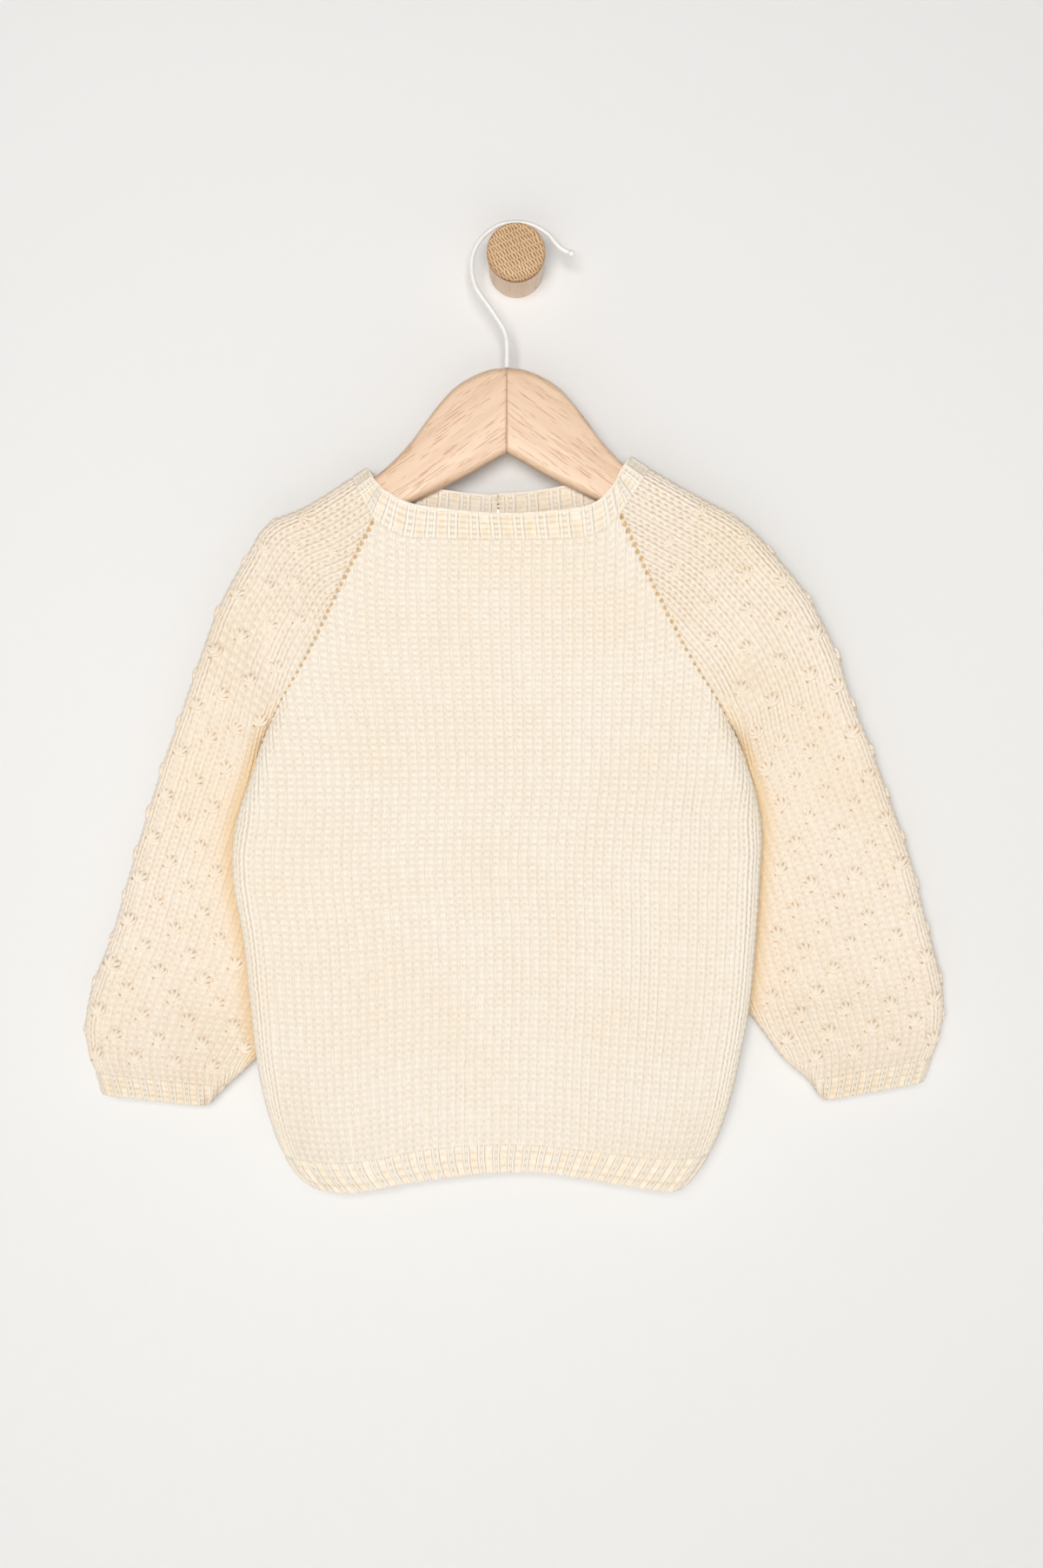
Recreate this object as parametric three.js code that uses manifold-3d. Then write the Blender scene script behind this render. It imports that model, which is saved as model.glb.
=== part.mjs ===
// Hand-knitted child's raglan sweater on a wooden hanger, hooked over a round wall peg.
// Millimetres, +Z up. The origin is the centre of the peg's back face, where it meets the wall:
// the wall is the plane Y = 0, the sweater hangs in front of it at Y < 0, and its front faces -Y.
import * as THREE from 'three';
import { mergeVertices } from 'three/addons/utils/BufferGeometryUtils.js';
import Module from 'manifold-3d';

// ---------- driving sizes ----------
const CLOTH = 2.4;            // thickness of the knitted cloth
const SEAM = 0.3;             // gap between two pieces at a seam
const HANG_Y = -37;           // plane of the hanger, the hook and the side seams
const ARMPIT_Z = -251;        // height where the raglan seams end
const ARMPIT_ROW = 0.3;       // the same place among the rows of the body
const ARMPIT_ROUND = 20;      // length over which a raglan seam turns in to the side seam
const SLIT_LEFT = 0.5055;     // centre-back slit: its two edges among the rows of the back
const SLIT_RIGHT = 0.5125;
const SLIT_FOOT_Z = -188;     // height of its foot
const SLIT_CLEAR = 0.04;      // other steps across the back keep this far from it

const HANGER = { x: -5, thick: 12, corner: 4, tipFrom: 118, tipRound: 10 };
const WIRE_RADIUS = 1.35;
const PEG = { radius: 15.6, baseRadius: 14.8, length: 39.2, capRadius: 15.6, capThick: 5, bevel: 0.7 };

// Body outline, one row for each height: the side edges, half the depth from front to back,
// the radius of the fold at each side and how far the middle swells. Above the armpits the
// edges are the raglan seams.
const BODY = [
  { z: -126, left: -67.0, right: 49.0, half: 9.2, round: 8, swell: 0 },
  { z: -142, left: -75.4, right: 56.6, half: 9.2, round: 8, swell: 0 },
  { z: -176, left: -92.5, right: 72.3, half: 9.2, round: 8, swell: 0 },
  { z: -216, left: -111.9, right: 93.0, half: 9.2, round: 8, swell: 0.4 },
  { z: -251, left: -131.6, right: 114.4, half: 9.2, round: 8, swell: 0.8 },
  { z: -280, left: -142.0, right: 125.9, half: 9.8, round: 11, swell: 1.2 },
  { z: -306, left: -150.2, right: 131.0, half: 10.2, round: 12, swell: 1.6 },
  { z: -332, left: -151.6, right: 130.4, half: 10.6, round: 12, swell: 2.0 },
  { z: -366, left: -146.0, right: 128.2, half: 10.8, round: 12, swell: 2.2 },
  { z: -403, left: -142.0, right: 124.6, half: 10.8, round: 12, swell: 2.2 },
  { z: -431, left: -138.6, right: 119.4, half: 10.6, round: 12, swell: 2.2 },
  { z: -455, left: -133.6, right: 113.6, half: 10.4, round: 11, swell: 2.0 },
  { z: -476, left: -126.4, right: 105.8, half: 9.6, round: 10, swell: 1.4 },
  { z: -490, left: -118.6, right: 97.4, half: 8.6, round: 8, swell: 0.6 },
  { z: -500, left: -108.0, right: 89.0, half: 8.0, round: 8, swell: 0.2 },
];

// Lines across the body, one row for each place from the left edge (0) to the right edge (1).
const FRONT_NECK = [
  { at: 0, z: -142.7 }, { at: 0.11, z: -151.3 }, { at: 0.25, z: -152.8 }, { at: 0.54, z: -153.3 },
  { at: 0.81, z: -152.6 }, { at: 0.92, z: -149.2 }, { at: 1, z: -139.4 },
];
const BACK_NECK = [
  { at: 0, z: -131 }, { at: 0.2, z: -137.4 }, { at: 0.5, z: -140.4 }, { at: 0.8, z: -136.4 },
  { at: 1, z: -128.6 },
];
const RIB_TOP = [
  { at: 0, z: -482 }, { at: 0.15, z: -484.6 }, { at: 0.35, z: -477 }, { at: 0.56, z: -474.8 },
  { at: 0.76, z: -479.4 }, { at: 0.9, z: -482.8 }, { at: 1, z: -481 },
];
const HEM = [
  { at: 0, z: -498 }, { at: 0.1, z: -501.2 }, { at: 0.32, z: -494 }, { at: 0.54, z: -489.8 },
  { at: 0.68, z: -491.7 }, { at: 0.95, z: -500.4 }, { at: 1, z: -499 },
];

// Sleeves, one row for each section from the neck to the edge of the cuff. at: distance along
// the sleeve. outX and outZ place the outer fold. Above the armpit a section starts on the two
// raglan seams; below it, inX and inZ place the underarm seam. inY and outY are the depths
// of the two edges, half is half the thickness.
const LEFT_SLEEVE = {
  outward: -1,
  armpitAt: 127,
  rows: [
    { at: 0, outX: -87.8, outZ: -119.5, inY: -37, outY: -37, half: 9.2, thin: 1 },
    { at: 26, outX: -112, outZ: -134.6, inY: -37, outY: -37, half: 9.2, thin: 1 },
    { at: 49, outX: -133, outZ: -144.6, inY: -37, outY: -37, half: 9.2, thin: 1 },
    { at: 72, outX: -144.8, outZ: -163, inY: -37, outY: -37, half: 9.2, thin: 1 },
    { at: 99, outX: -159, outZ: -189, inY: -37, outY: -37, half: 9.2, thin: 1 },
    { at: 127, inX: -132, inZ: -251, outX: -171, outZ: -222, inY: -37, outY: -37, half: 9.2, thin: 1 },
    { at: 149, inX: -138.2, inZ: -268, outX: -179.8, outZ: -246, inY: -28, outY: -34, half: 9.2, thin: 0.95 },
    { at: 171, inX: -138, inZ: -288, outX: -188.8, outZ: -270, inY: -19, outY: -31, half: 9.0, thin: 0.9 },
    { at: 198, inX: -132, inZ: -313, outX: -198, outZ: -297, inY: -13.5, outY: -27, half: 9.0, thin: 0.85 },
    { at: 230, inX: -126, inZ: -346, outX: -207.2, outZ: -327, inY: -12, outY: -26, half: 9.6, thin: 0.82 },
    { at: 268, inX: -124, inZ: -385, outX: -218, outZ: -364, inY: -12, outY: -25, half: 10, thin: 0.82 },
    { at: 296, inX: -126, inZ: -410, outX: -229, outZ: -393, inY: -12, outY: -24.5, half: 10.2, thin: 0.85 },
    { at: 314, inX: -134, inZ: -424, outX: -232.8, outZ: -413, inY: -15.5, outY: -24, half: 10.2, thin: 0.9 },
    { at: 329, inX: -146, inZ: -437, outX: -231.2, outZ: -428, inY: -18, outY: -23.5, half: 9.6, thin: 0.95 },
    { at: 341, inX: -157, inZ: -447, outX: -227.6, outZ: -439, inY: -19.5, outY: -23, half: 8.6, thin: 1 },
    { at: 355, inX: -167.5, inZ: -457.5, outX: -224.3, outZ: -451, inY: -20, outY: -22, half: 8, thin: 1 },
  ],
};
const RIGHT_SLEEVE = {
  outward: 1,
  armpitAt: 132,
  rows: [
    { at: 0, outX: 71.8, outZ: -114.8, inY: -37, outY: -37, half: 9.2, thin: 1 },
    { at: 26, outX: 97, outZ: -129.2, inY: -37, outY: -37, half: 9.2, thin: 1 },
    { at: 53, outX: 121, outZ: -142.8, inY: -37, outY: -37, half: 9.2, thin: 1 },
    { at: 77, outX: 137, outZ: -159, inY: -37, outY: -37, half: 9.2, thin: 1 },
    { at: 104, outX: 156, outZ: -182.6, inY: -37, outY: -37, half: 9.2, thin: 1 },
    { at: 132, inX: 115, inZ: -251, outX: 171, outZ: -212, inY: -37, outY: -37, half: 9.2, thin: 1 },
    { at: 155, inX: 122, inZ: -268, outX: 180, outZ: -238, inY: -28, outY: -34, half: 9.2, thin: 0.95 },
    { at: 178, inX: 121, inZ: -289, outX: 190, outZ: -261.5, inY: -19, outY: -31, half: 9.0, thin: 0.9 },
    { at: 204, inX: 115, inZ: -314, outX: 200, outZ: -287.6, inY: -13.5, outY: -27, half: 9.0, thin: 0.85 },
    { at: 237, inX: 109, inZ: -347, outX: 212, outZ: -321, inY: -12, outY: -26, half: 9.6, thin: 0.82 },
    { at: 275, inX: 112, inZ: -381, outX: 222.5, outZ: -361, inY: -12, outY: -25, half: 10, thin: 0.82 },
    { at: 297, inX: 121, inZ: -399, outX: 229, outZ: -386, inY: -12, outY: -24.5, half: 10.2, thin: 0.85 },
    { at: 317, inX: 134, inZ: -417, outX: 231, outZ: -403, inY: -16, outY: -24, half: 10.2, thin: 0.9 },
    { at: 334, inX: 146, inZ: -433, outX: 229, outZ: -419, inY: -18, outY: -23.5, half: 9.6, thin: 0.95 },
    { at: 346, inX: 158, inZ: -443.5, outX: 225, outZ: -431, inY: -19.5, outY: -23, half: 8.6, thin: 1 },
    { at: 360, inX: 166.5, inZ: -454.5, outX: 220.9, outZ: -444, inY: -20, outY: -22, half: 8, thin: 1 },
  ],
};
const CUFF_LENGTH = 14;
const CUFF_SEAM = 0.65;       // its seam: the cloth narrows there, so it is cut back a little more
const SLEEVE_ROUND = 9;       // radius of the folds at the edges of a sleeve
const SEAM_STEP = SEAM * 1.15; // step sideways across a slanting raglan seam
const TUCK_CURVE = 1.6;       // how late a tucked sleeve comes forward on its way to the outer fold

// Soft fold down the front of each sleeve, beside the armpit.
const ARMPIT_FOLDS = [
  { x: -132, top: -188, foot: -250, width: 7, depth: 3.2 },
  { x: 118, top: -196, foot: -250, width: 7, depth: 2.6 },
];

const NECK_SEAM = 0.03;       // seams under the neckband and over the hem, as shares of their heights
const HEM_SEAM = 0.024;

// Rise of the neckband from its foot to its top edge. around: 0 to 1 back left, 1 to 2 over the
// left shoulder, 2 to 3 front, 3 to 4 over the right shoulder, 4 to 5 back right.
const NECKBAND = [
  { around: 0, dx: 0, dz: 12.8 },
  { around: 0.5, dx: 1.5, dz: 13.6 },
  { around: 1, dx: 3.5, dz: 12 },
  { around: 1.5, dx: 8.3, dz: 5.5 },
  { around: 2, dx: 5.6, dz: 15.7 },
  { around: 2.11, dx: 3.2, dz: 18 },
  { around: 2.25, dx: 1, dz: 16.4 },
  { around: 2.54, dx: -1.4, dz: 14.1 },
  { around: 2.81, dx: -1.5, dz: 15.8 },
  { around: 2.92, dx: -2, dz: 16.2 },
  { around: 3, dx: -3.4, dz: 15.4 },
  { around: 3.5, dx: -10.5, dz: 7 },
  { around: 4, dx: -2.5, dz: 12.5 },
  { around: 4.5, dx: -1.5, dz: 13.6 },
  { around: 5, dx: 0, dz: 13.6 },
];

// Hanger arm from the mitre (run 0) to its rounded end: heights of its top and foot.
const ARM = [
  { run: 0, top: -61.0, foot: -106.1 },
  { run: 9, top: -62.0, foot: -111.2 },
  { run: 19, top: -66.0, foot: -117 },
  { run: 28, top: -71.8, foot: -121.6 },
  { run: 36, top: -80.4, foot: -125.6 },
  { run: 43, top: -89.6, foot: -129.1 },
  { run: 51, top: -100.4, foot: -133 },
  { run: 60, top: -110.2, foot: -137 },
  { run: 72, top: -120.4, foot: -142 },
  { run: 88, top: -130, foot: -148.4 },
  { run: 104, top: -139, foot: -154.4 },
  { run: 118, top: -146.6, foot: -159.6 },
  { run: 124, top: -151, foot: -160.4 },
  { run: 127, top: -154.6, foot: -158.6 },
];

// Route of the hook's wire, from the top of the hanger over the peg to the ball tip.
const HOOK = [
  { x: -5.0, z: -60.6 }, { x: -5.0, z: -47 }, { x: -6.4, z: -40.5 }, { x: -10.2, z: -34 },
  { x: -14.4, z: -27.8 }, { x: -18.6, z: -22 }, { x: -21.6, z: -17.2 }, { x: -23.6, z: -10.4 },
  { x: -23.8, z: -3.2 }, { x: -22.2, z: 3 }, { x: -18.8, z: 8.6 }, { x: -14.2, z: 12.9 },
  { x: -8.6, z: 16.1 }, { x: -2.6, z: 17.35 }, { x: 2.6, z: 17.35 }, { x: 8.2, z: 16.2 },
  { x: 13, z: 13.9 }, { x: 17.6, z: 10.6 }, { x: 21.2, z: 6.2 }, { x: 24.8, z: 3 }, { x: 29, z: 1 },
];
const BALL = { radius: 1.95, x: 29.6, z: 0.8 };

const BUTTON = { radius: 5.5, thick: 2.4, x: -10.6, z: -133.4, hollow: 0.7, rim: 1.6, edge: 0.6 };
const LOOP = { radius: 0.6, startAngle: 24 };

// ---------- small mathematics ----------
const mix = (a, b, t) => a + (b - a) * t;
const clamp01 = (t) => Math.min(1, Math.max(0, t));

/** Smooth value of a table's column where its key column has the value `at`. */
function read(rows, key, column, at) {
  const last = rows.length - 1;
  const rising = rows[last][key] > rows[0][key];
  let i = 0;
  while (i < last - 1 && (rising ? at > rows[i + 1][key] : at < rows[i + 1][key])) i += 1;
  const slope = (k) => {
    const a = rows[Math.max(0, k - 1)];
    const b = rows[Math.min(last, k + 1)];
    return (b[column] - a[column]) / (b[key] - a[key]);
  };
  const span = rows[i + 1][key] - rows[i][key];
  const t = clamp01((at - rows[i][key]) / span);
  const [p0, p1] = [rows[i][column], rows[i + 1][column]];
  const [m0, m1] = [slope(i) * span, slope(i + 1) * span];
  const t2 = t * t;
  const t3 = t2 * t;
  return (2 * t3 - 3 * t2 + 1) * p0 + (t3 - 2 * t2 + t) * m0 + (3 * t2 - 2 * t3) * p1 + (t3 - t2) * m1;
}

const ARC_SHARE = 0.18;       // share of a section's steps spent on each rounded edge
const SEAM_STRIP = 4;         // width of that strip along a seam that lies level

/**
 * Flat oval between two edges, each with its rounding radius and its level: 1 where the edge lies
 * level with the front, near 0 where it turns in to a side seam. Gives the distance run from the
 * first edge and the height there, 0 to 1, at fraction u.
 */
function flatOval(u, width, first, last) {
  const strip = (edge) => mix(edge.round, SEAM_STRIP, edge.level);
  const spacing = (t, edge) => strip(edge) * mix(1 - Math.cos(t * Math.PI / 2), t, edge.level);
  const height = (distance, edge) => {
    const reach = edge.round * Math.sqrt(1 - edge.level ** 2);
    return distance >= reach ? 1 : Math.sqrt(1 - ((reach - distance) / edge.round) ** 2);
  };
  let run = 0;
  if (u <= ARC_SHARE) run = spacing(u / ARC_SHARE, first);
  else if (u >= 1 - ARC_SHARE) run = width - spacing((1 - u) / ARC_SHARE, last);
  else run = mix(strip(first), width - strip(last), (u - ARC_SHARE) / (1 - 2 * ARC_SHARE));
  return { run, rise: height(run, first) * height(width - run, last) };
}

/** Level of a body edge: 1 along a raglan seam, falling to that of a side seam at the armpit. */
function edgeLevel(z, half) {
  const t = clamp01((z - ARMPIT_Z) / ARMPIT_ROUND);
  return Math.max(Math.sin(t * Math.PI / 2), SEAM / 2 / half);
}

// ---------- surfaces of the garment ----------
const FRONT = -1;
const BACK = 1;

/**
 * Height of a row of the body at a share of the way from its left edge to its right edge. Rows
 * run from the neckline (0) to the rib (1) to the hem (2).
 */
function rowHeight(side, share, row) {
  const neck = side === FRONT ? FRONT_NECK : BACK_NECK;
  const rib = read(RIB_TOP, 'at', 'z', share);
  if (row <= ARMPIT_ROW) return mix(read(neck, 'at', 'z', share), ARMPIT_Z, row / ARMPIT_ROW);
  if (row <= 1) return mix(ARMPIT_Z, rib, (row - ARMPIT_ROW) / (1 - ARMPIT_ROW));
  return mix(rib, read(HEM, 'at', 'z', share), row - 1);
}

/** Point on the outside of the body, u from its left edge (0) to its right edge (1). */
function bodyPoint(side, u, row) {
  const leftZ = rowHeight(side, 0, row);
  const rightZ = rowHeight(side, 1, row);
  const left = read(BODY, 'z', 'left', leftZ);
  const width = read(BODY, 'z', 'right', rightZ) - left;
  const edgeZ = (leftZ + rightZ) / 2;
  const half = read(BODY, 'z', 'half', edgeZ);
  const round = read(BODY, 'z', 'round', edgeZ);
  const leftEdge = { round, level: edgeLevel(leftZ, half) };
  const rightEdge = { round, level: edgeLevel(rightZ, half) };
  const { run, rise } = flatOval(u, width, leftEdge, rightEdge);
  const share = run / width;
  const swell = read(BODY, 'z', 'swell', edgeZ) * Math.sin(Math.PI * share);
  const y = HANG_Y + side * (half * rise + swell);
  return new THREE.Vector3(left + run, y, rowHeight(side, share, row));
}

/** Depth of the soft armpit folds in the front of the sleeves. */
function foldDepth(x, z) {
  let depth = 0;
  for (const fold of ARMPIT_FOLDS) {
    const along = clamp01((fold.top - z) / (fold.top - fold.foot));
    const across = (x - fold.x) / fold.width;
    depth += fold.depth * Math.sin(Math.PI * along) * Math.exp(-across * across);
  }
  return depth;
}

/** Point on the outside of a sleeve: u from the front seam (0) over the fold (0.5) to the back (1). */
function sleevePoint(sleeve, u, at) {
  const value = (column) => read(sleeve.rows, 'at', column, at);
  const side = u <= 0.5 ? FRONT : BACK;
  const half = value('half');
  const seamEdge = { round: SLEEVE_ROUND, level: SEAM / 2 / half };
  let start = null;
  if (at < sleeve.armpitAt) {
    const seam = bodyPoint(side, sleeve.outward < 0 ? 0 : 1, ARMPIT_ROW * at / sleeve.armpitAt);
    start = new THREE.Vector2(seam.x + sleeve.outward * SEAM_STEP, seam.z);
    seamEdge.level = Math.min(1, Math.abs(seam.y - HANG_Y) / half);
  } else {
    const arm = sleeve.rows.filter((row) => row.at >= sleeve.armpitAt);
    start = new THREE.Vector2(read(arm, 'at', 'inX', at), read(arm, 'at', 'inZ', at));
  }
  const end = new THREE.Vector2(value('outX'), value('outZ'));
  const width = start.distanceTo(end);
  const foldEdge = { round: SLEEVE_ROUND, level: 0 };
  const { run, rise } = flatOval(side === FRONT ? 2 * u : 2 - 2 * u, width, seamEdge, foldEdge);
  const share = run / width;
  const flat = start.lerp(end, share);
  const mid = mix(value('inY'), value('outY'), share ** TUCK_CURVE);
  const depth = half * mix(value('thin'), 1, share) * rise;
  const fold = side === FRONT ? foldDepth(flat.x, flat.y) * rise : 0;
  return new THREE.Vector3(flat.x, mid + side * depth + fold, flat.y);
}

/** Foot of the neckband, around the neck from the back slit and back to it. */
function neckFoot(around) {
  if (around < 1) return bodyPoint(BACK, SLIT_LEFT * (1 - around), 0);
  if (around < 2) return sleevePoint(LEFT_SLEEVE, 2 - around, 0);
  if (around <= 3) return bodyPoint(FRONT, around - 2, 0);
  if (around < 4) return sleevePoint(RIGHT_SLEEVE, around - 3, 0);
  return bodyPoint(BACK, mix(1, SLIT_RIGHT, around - 4), 0);
}

/** Point on the outside of the neckband: up is 0 at its foot and 1 at its top edge. */
function neckbandPoint(around, up) {
  const foot = neckFoot(around);
  const [left, right] = [neckFoot(2).x, neckFoot(3).x];
  const key = around > 2 && around < 3 ? 2 + (foot.x - left) / (right - left) : around;
  const rise = mix(NECK_SEAM, 1, up);
  foot.x += read(NECKBAND, 'around', 'dx', key) * rise;
  foot.z += read(NECKBAND, 'around', 'dz', key) * rise;
  return foot;
}

// ---------- closed solids ----------

/** Mesh geometry from corner points and triangles. */
function solidFrom(points, triangles) {
  const geometry = new THREE.BufferGeometry();
  const flat = points.flatMap((p) => [p.x, p.y, p.z]);
  geometry.setAttribute('position', new THREE.Float32BufferAttribute(flat, 3));
  geometry.setIndex(triangles.flat());
  geometry.computeVertexNormals();
  return geometry;
}

/**
 * Wall of cloth under a surface. `us` and `vs` are the steps across and along it, `place(u, v)`
 * its outside for v from 0 to `reach`, and `outward` is +1 where u, v and the outside turn as X, Y
 * and Z do, and -1 where they turn the other way.
 * Slopes are taken over `vStep`, and beside the seam at v = `seamAt` they are those of the seam
 * itself, so that the walls on both sides of it stand alike. `open(u, v)` is true in cells that
 * are cut out.
 */
function clothWall({ us, vs, place, outward, reach, vStep, seamAt, open = () => false }) {
  const uStep = 1e-4;
  const [uMin, uMax] = [us[0], us[us.length - 1]];
  const points = [];
  for (const v of vs) {
    for (const u of us) {
      const slopeAt = Math.abs(v - seamAt) < vStep * 1.5 ? seamAt : v;
      const [u0, u1] = [Math.max(uMin, u - uStep), Math.min(uMax, u + uStep)];
      const [v0, v1] = [Math.max(0, slopeAt - vStep), Math.min(reach, slopeAt + vStep)];
      const across = place(u1, slopeAt).sub(place(u0, slopeAt));
      const along = place(u, v1).sub(place(u, v0));
      const normal = across.cross(along).normalize().multiplyScalar(outward);
      const outer = place(u, v);
      points.push(outer, outer.clone().addScaledVector(normal, -CLOTH));
    }
  }
  const nu = us.length;
  const corner = (i, j, inner) => 2 * (j * nu + i) + inner;
  const solid = (i, j) => i >= 0 && j >= 0 && i < nu - 1 && j < vs.length - 1
    && !open((us[i] + us[i + 1]) / 2, (vs[j] + vs[j + 1]) / 2);
  const triangles = [];
  const quad = (a, b, c, d) => {
    const [first, second] = outward > 0 ? [[a, b, c], [a, c, d]] : [[a, c, b], [a, d, c]];
    triangles.push(first, second);
  };
  for (let j = 0; j < vs.length - 1; j += 1) {
    for (let i = 0; i < nu - 1; i += 1) {
      if (!solid(i, j)) continue;
      const o = [corner(i, j, 0), corner(i + 1, j, 0), corner(i + 1, j + 1, 0), corner(i, j + 1, 0)];
      const n = o.map((k) => k + 1);
      quad(o[0], o[1], o[2], o[3]);
      quad(n[3], n[2], n[1], n[0]);
      if (!solid(i, j - 1)) quad(o[1], o[0], n[0], n[1]);
      if (!solid(i + 1, j)) quad(o[2], o[1], n[1], n[2]);
      if (!solid(i, j + 1)) quad(o[3], o[2], n[2], n[3]);
      if (!solid(i - 1, j)) quad(o[0], o[3], n[3], n[0]);
    }
  }
  const used = new Map();
  const kept = [];
  for (const triangle of triangles) {
    triangle.forEach((k, slot) => {
      if (!used.has(k)) {
        used.set(k, kept.length);
        kept.push(points[k]);
      }
      triangle[slot] = used.get(k);
    });
  }
  return solidFrom(kept, triangles);
}

/** Even steps from a to b. */
const steps = (a, b, count) => Array.from({ length: count + 1 }, (_, i) => mix(a, b, i / count));

/** Steps across a flat oval: finer on the two rounded edges. */
function ovalSteps(level, arc = 3) {
  return [
    ...steps(0, ARC_SHARE, arc).slice(0, -1),
    ...steps(ARC_SHARE, 1 - ARC_SHARE, level),
    ...steps(1 - ARC_SHARE, 1, arc).slice(1),
  ];
}

// Steps across the pieces, shared by pieces that meet.
const YOKE_ROWS = [0, 0.03, 0.07, 0.12, 0.17, 0.21, 0.24, 0.26, 0.28, ARMPIT_ROW];
const BODY_STEPS = ovalSteps(10);
const BACK_STEPS = [...BODY_STEPS.filter((u) => Math.abs(u - SLIT_LEFT) > SLIT_CLEAR), SLIT_LEFT, SLIT_RIGHT]
  .sort((a, b) => a - b);
const HALF_SLEEVE = ovalSteps(4).map((u) => u / 2);
const SLEEVE_STEPS = [...HALF_SLEEVE, ...HALF_SLEEVE.slice(0, -1).reverse().map((u) => 1 - u)];

/** Closed solid through rings of points that all have the same length. */
function loft(rings) {
  const count = rings[0].length;
  const points = rings.flat();
  const triangles = [];
  for (let r = 0; r < rings.length - 1; r += 1) {
    for (let k = 0; k < count; k += 1) {
      const next = (k + 1) % count;
      const [a, b] = [r * count + k, r * count + next];
      triangles.push([a, b, b + count], [a, b + count, a + count]);
    }
  }
  const foot = (rings.length - 1) * count;
  for (let k = 1; k < count - 1; k += 1) {
    triangles.push([0, k + 1, k], [foot, foot + k, foot + k + 1]);
  }
  return solidFrom(points, triangles);
}

/** The solid of two overlapping closed geometries joined in one. */
function joined(wasm, first, second) {
  const toManifold = (geometry) => {
    const bare = geometry.clone();
    bare.deleteAttribute('normal');
    bare.deleteAttribute('uv');
    const merged = mergeVertices(bare, 1e-4);
    const vertProperties = new Float32Array(merged.attributes.position.array);
    const triVerts = new Uint32Array(merged.index.array);
    return new wasm.Manifold(new wasm.Mesh({ numProp: 3, vertProperties, triVerts }));
  };
  const result = toManifold(first).add(toManifold(second)).getMesh();
  const geometry = new THREE.BufferGeometry();
  geometry.setAttribute('position', new THREE.BufferAttribute(new Float32Array(result.vertProperties), 3));
  geometry.setIndex(new THREE.BufferAttribute(new Uint32Array(result.triVerts), 1));
  return geometry;
}

// ---------- materials ----------
const finish = (color, roughness) => new THREE.MeshStandardMaterial({ color, roughness, metalness: 0 });
const materials = {
  bodyKnit: () => finish('#f8ecda', 0.95),
  sleeveKnit: () => finish('#f5e5cf', 0.95),
  hangerWood: () => finish('#f8dabd', 0.5),
  paintedWire: () => finish('#f2f3f1', 0.35),
  pegWood: () => finish('#d3af8a', 0.55),
  pegBody: () => finish('#e0c4a8', 0.6),
  button: () => finish('#efe6d6', 0.3),
};

// ---------- pieces ----------
const sweater = new THREE.Group();
const wasm = await Module();
wasm.setup();

function add(name, geometry, material) {
  const mesh = new THREE.Mesh(geometry, material);
  mesh.name = name;
  sweater.add(mesh);
  return mesh;
}

/** Front and back, each with its rib at the hem. */
function addBody() {
  const rows = [...YOKE_ROWS, 0.33, 0.37, ...steps(0.42, 0.94, 8), 1];
  const hemRows = [1 + HEM_SEAM, 1.5, 2];
  const frontPlace = (u, v) => bodyPoint(FRONT, u, v);
  const frontSide = { us: BODY_STEPS, place: frontPlace, outward: -1, reach: 2, vStep: 0.02, seamAt: 1 };
  add('front', clothWall({ ...frontSide, vs: rows }), materials.bodyKnit());
  add('hem_rib_front', clothWall({ ...frontSide, vs: hemRows }), materials.bodyKnit());

  const cut = (u, v) => u > SLIT_LEFT && u < SLIT_RIGHT && bodyPoint(BACK, u, v).z > SLIT_FOOT_Z;
  const backSide = { place: (u, v) => bodyPoint(BACK, u, v), outward: 1, reach: 2, vStep: 0.02, seamAt: 1 };
  add('back', clothWall({ ...backSide, us: BACK_STEPS, vs: rows, open: cut }), materials.bodyKnit());
  add('hem_rib_back', clothWall({ ...backSide, us: BODY_STEPS, vs: hemRows }), materials.bodyKnit());
}

/** A sleeve with its cuff. */
function addSleeve(name, sleeve) {
  const length = sleeve.rows[sleeve.rows.length - 1].at;
  const cuffAt = length - CUFF_LENGTH;
  const yoke = YOKE_ROWS.map((row) => row / ARMPIT_ROW * sleeve.armpitAt);
  const arm = steps(sleeve.armpitAt, cuffAt, 12).slice(1);
  const tube = {
    us: SLEEVE_STEPS,
    place: (u, v) => sleevePoint(sleeve, u, v),
    outward: -sleeve.outward,
    reach: length,
    vStep: 0.4,
    seamAt: cuffAt,
  };
  add(`${name}_sleeve`, clothWall({ ...tube, vs: [...yoke, ...arm] }), materials.sleeveKnit());
  const cuffRows = steps(cuffAt + CUFF_SEAM, length, 2);
  add(`${name}_cuff`, clothWall({ ...tube, vs: cuffRows }), materials.sleeveKnit());
}

/** Ribbed band around the neck, open at the centre-back slit. */
function addNeckband() {
  const around = [
    ...BACK_STEPS.filter((u) => u <= SLIT_LEFT && u > 0).reverse().map((u) => 1 - u / SLIT_LEFT),
    ...SLEEVE_STEPS.filter((u) => u > 0).reverse().map((u) => 2 - u),
    ...BODY_STEPS.map((u) => 2 + u),
    ...SLEEVE_STEPS.filter((u) => u > 0 && u < 1).map((u) => 3 + u),
    ...BACK_STEPS.filter((u) => u >= SLIT_RIGHT).reverse().map((u) => 4 + (1 - u) / (1 - SLIT_RIGHT)),
  ];
  const run = { us: around, vs: steps(0, 1, 2), reach: 1, vStep: 0.03, seamAt: 0 };
  add('neckband', clothWall({ ...run, place: neckbandPoint, outward: 1 }), materials.bodyKnit());
}

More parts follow.
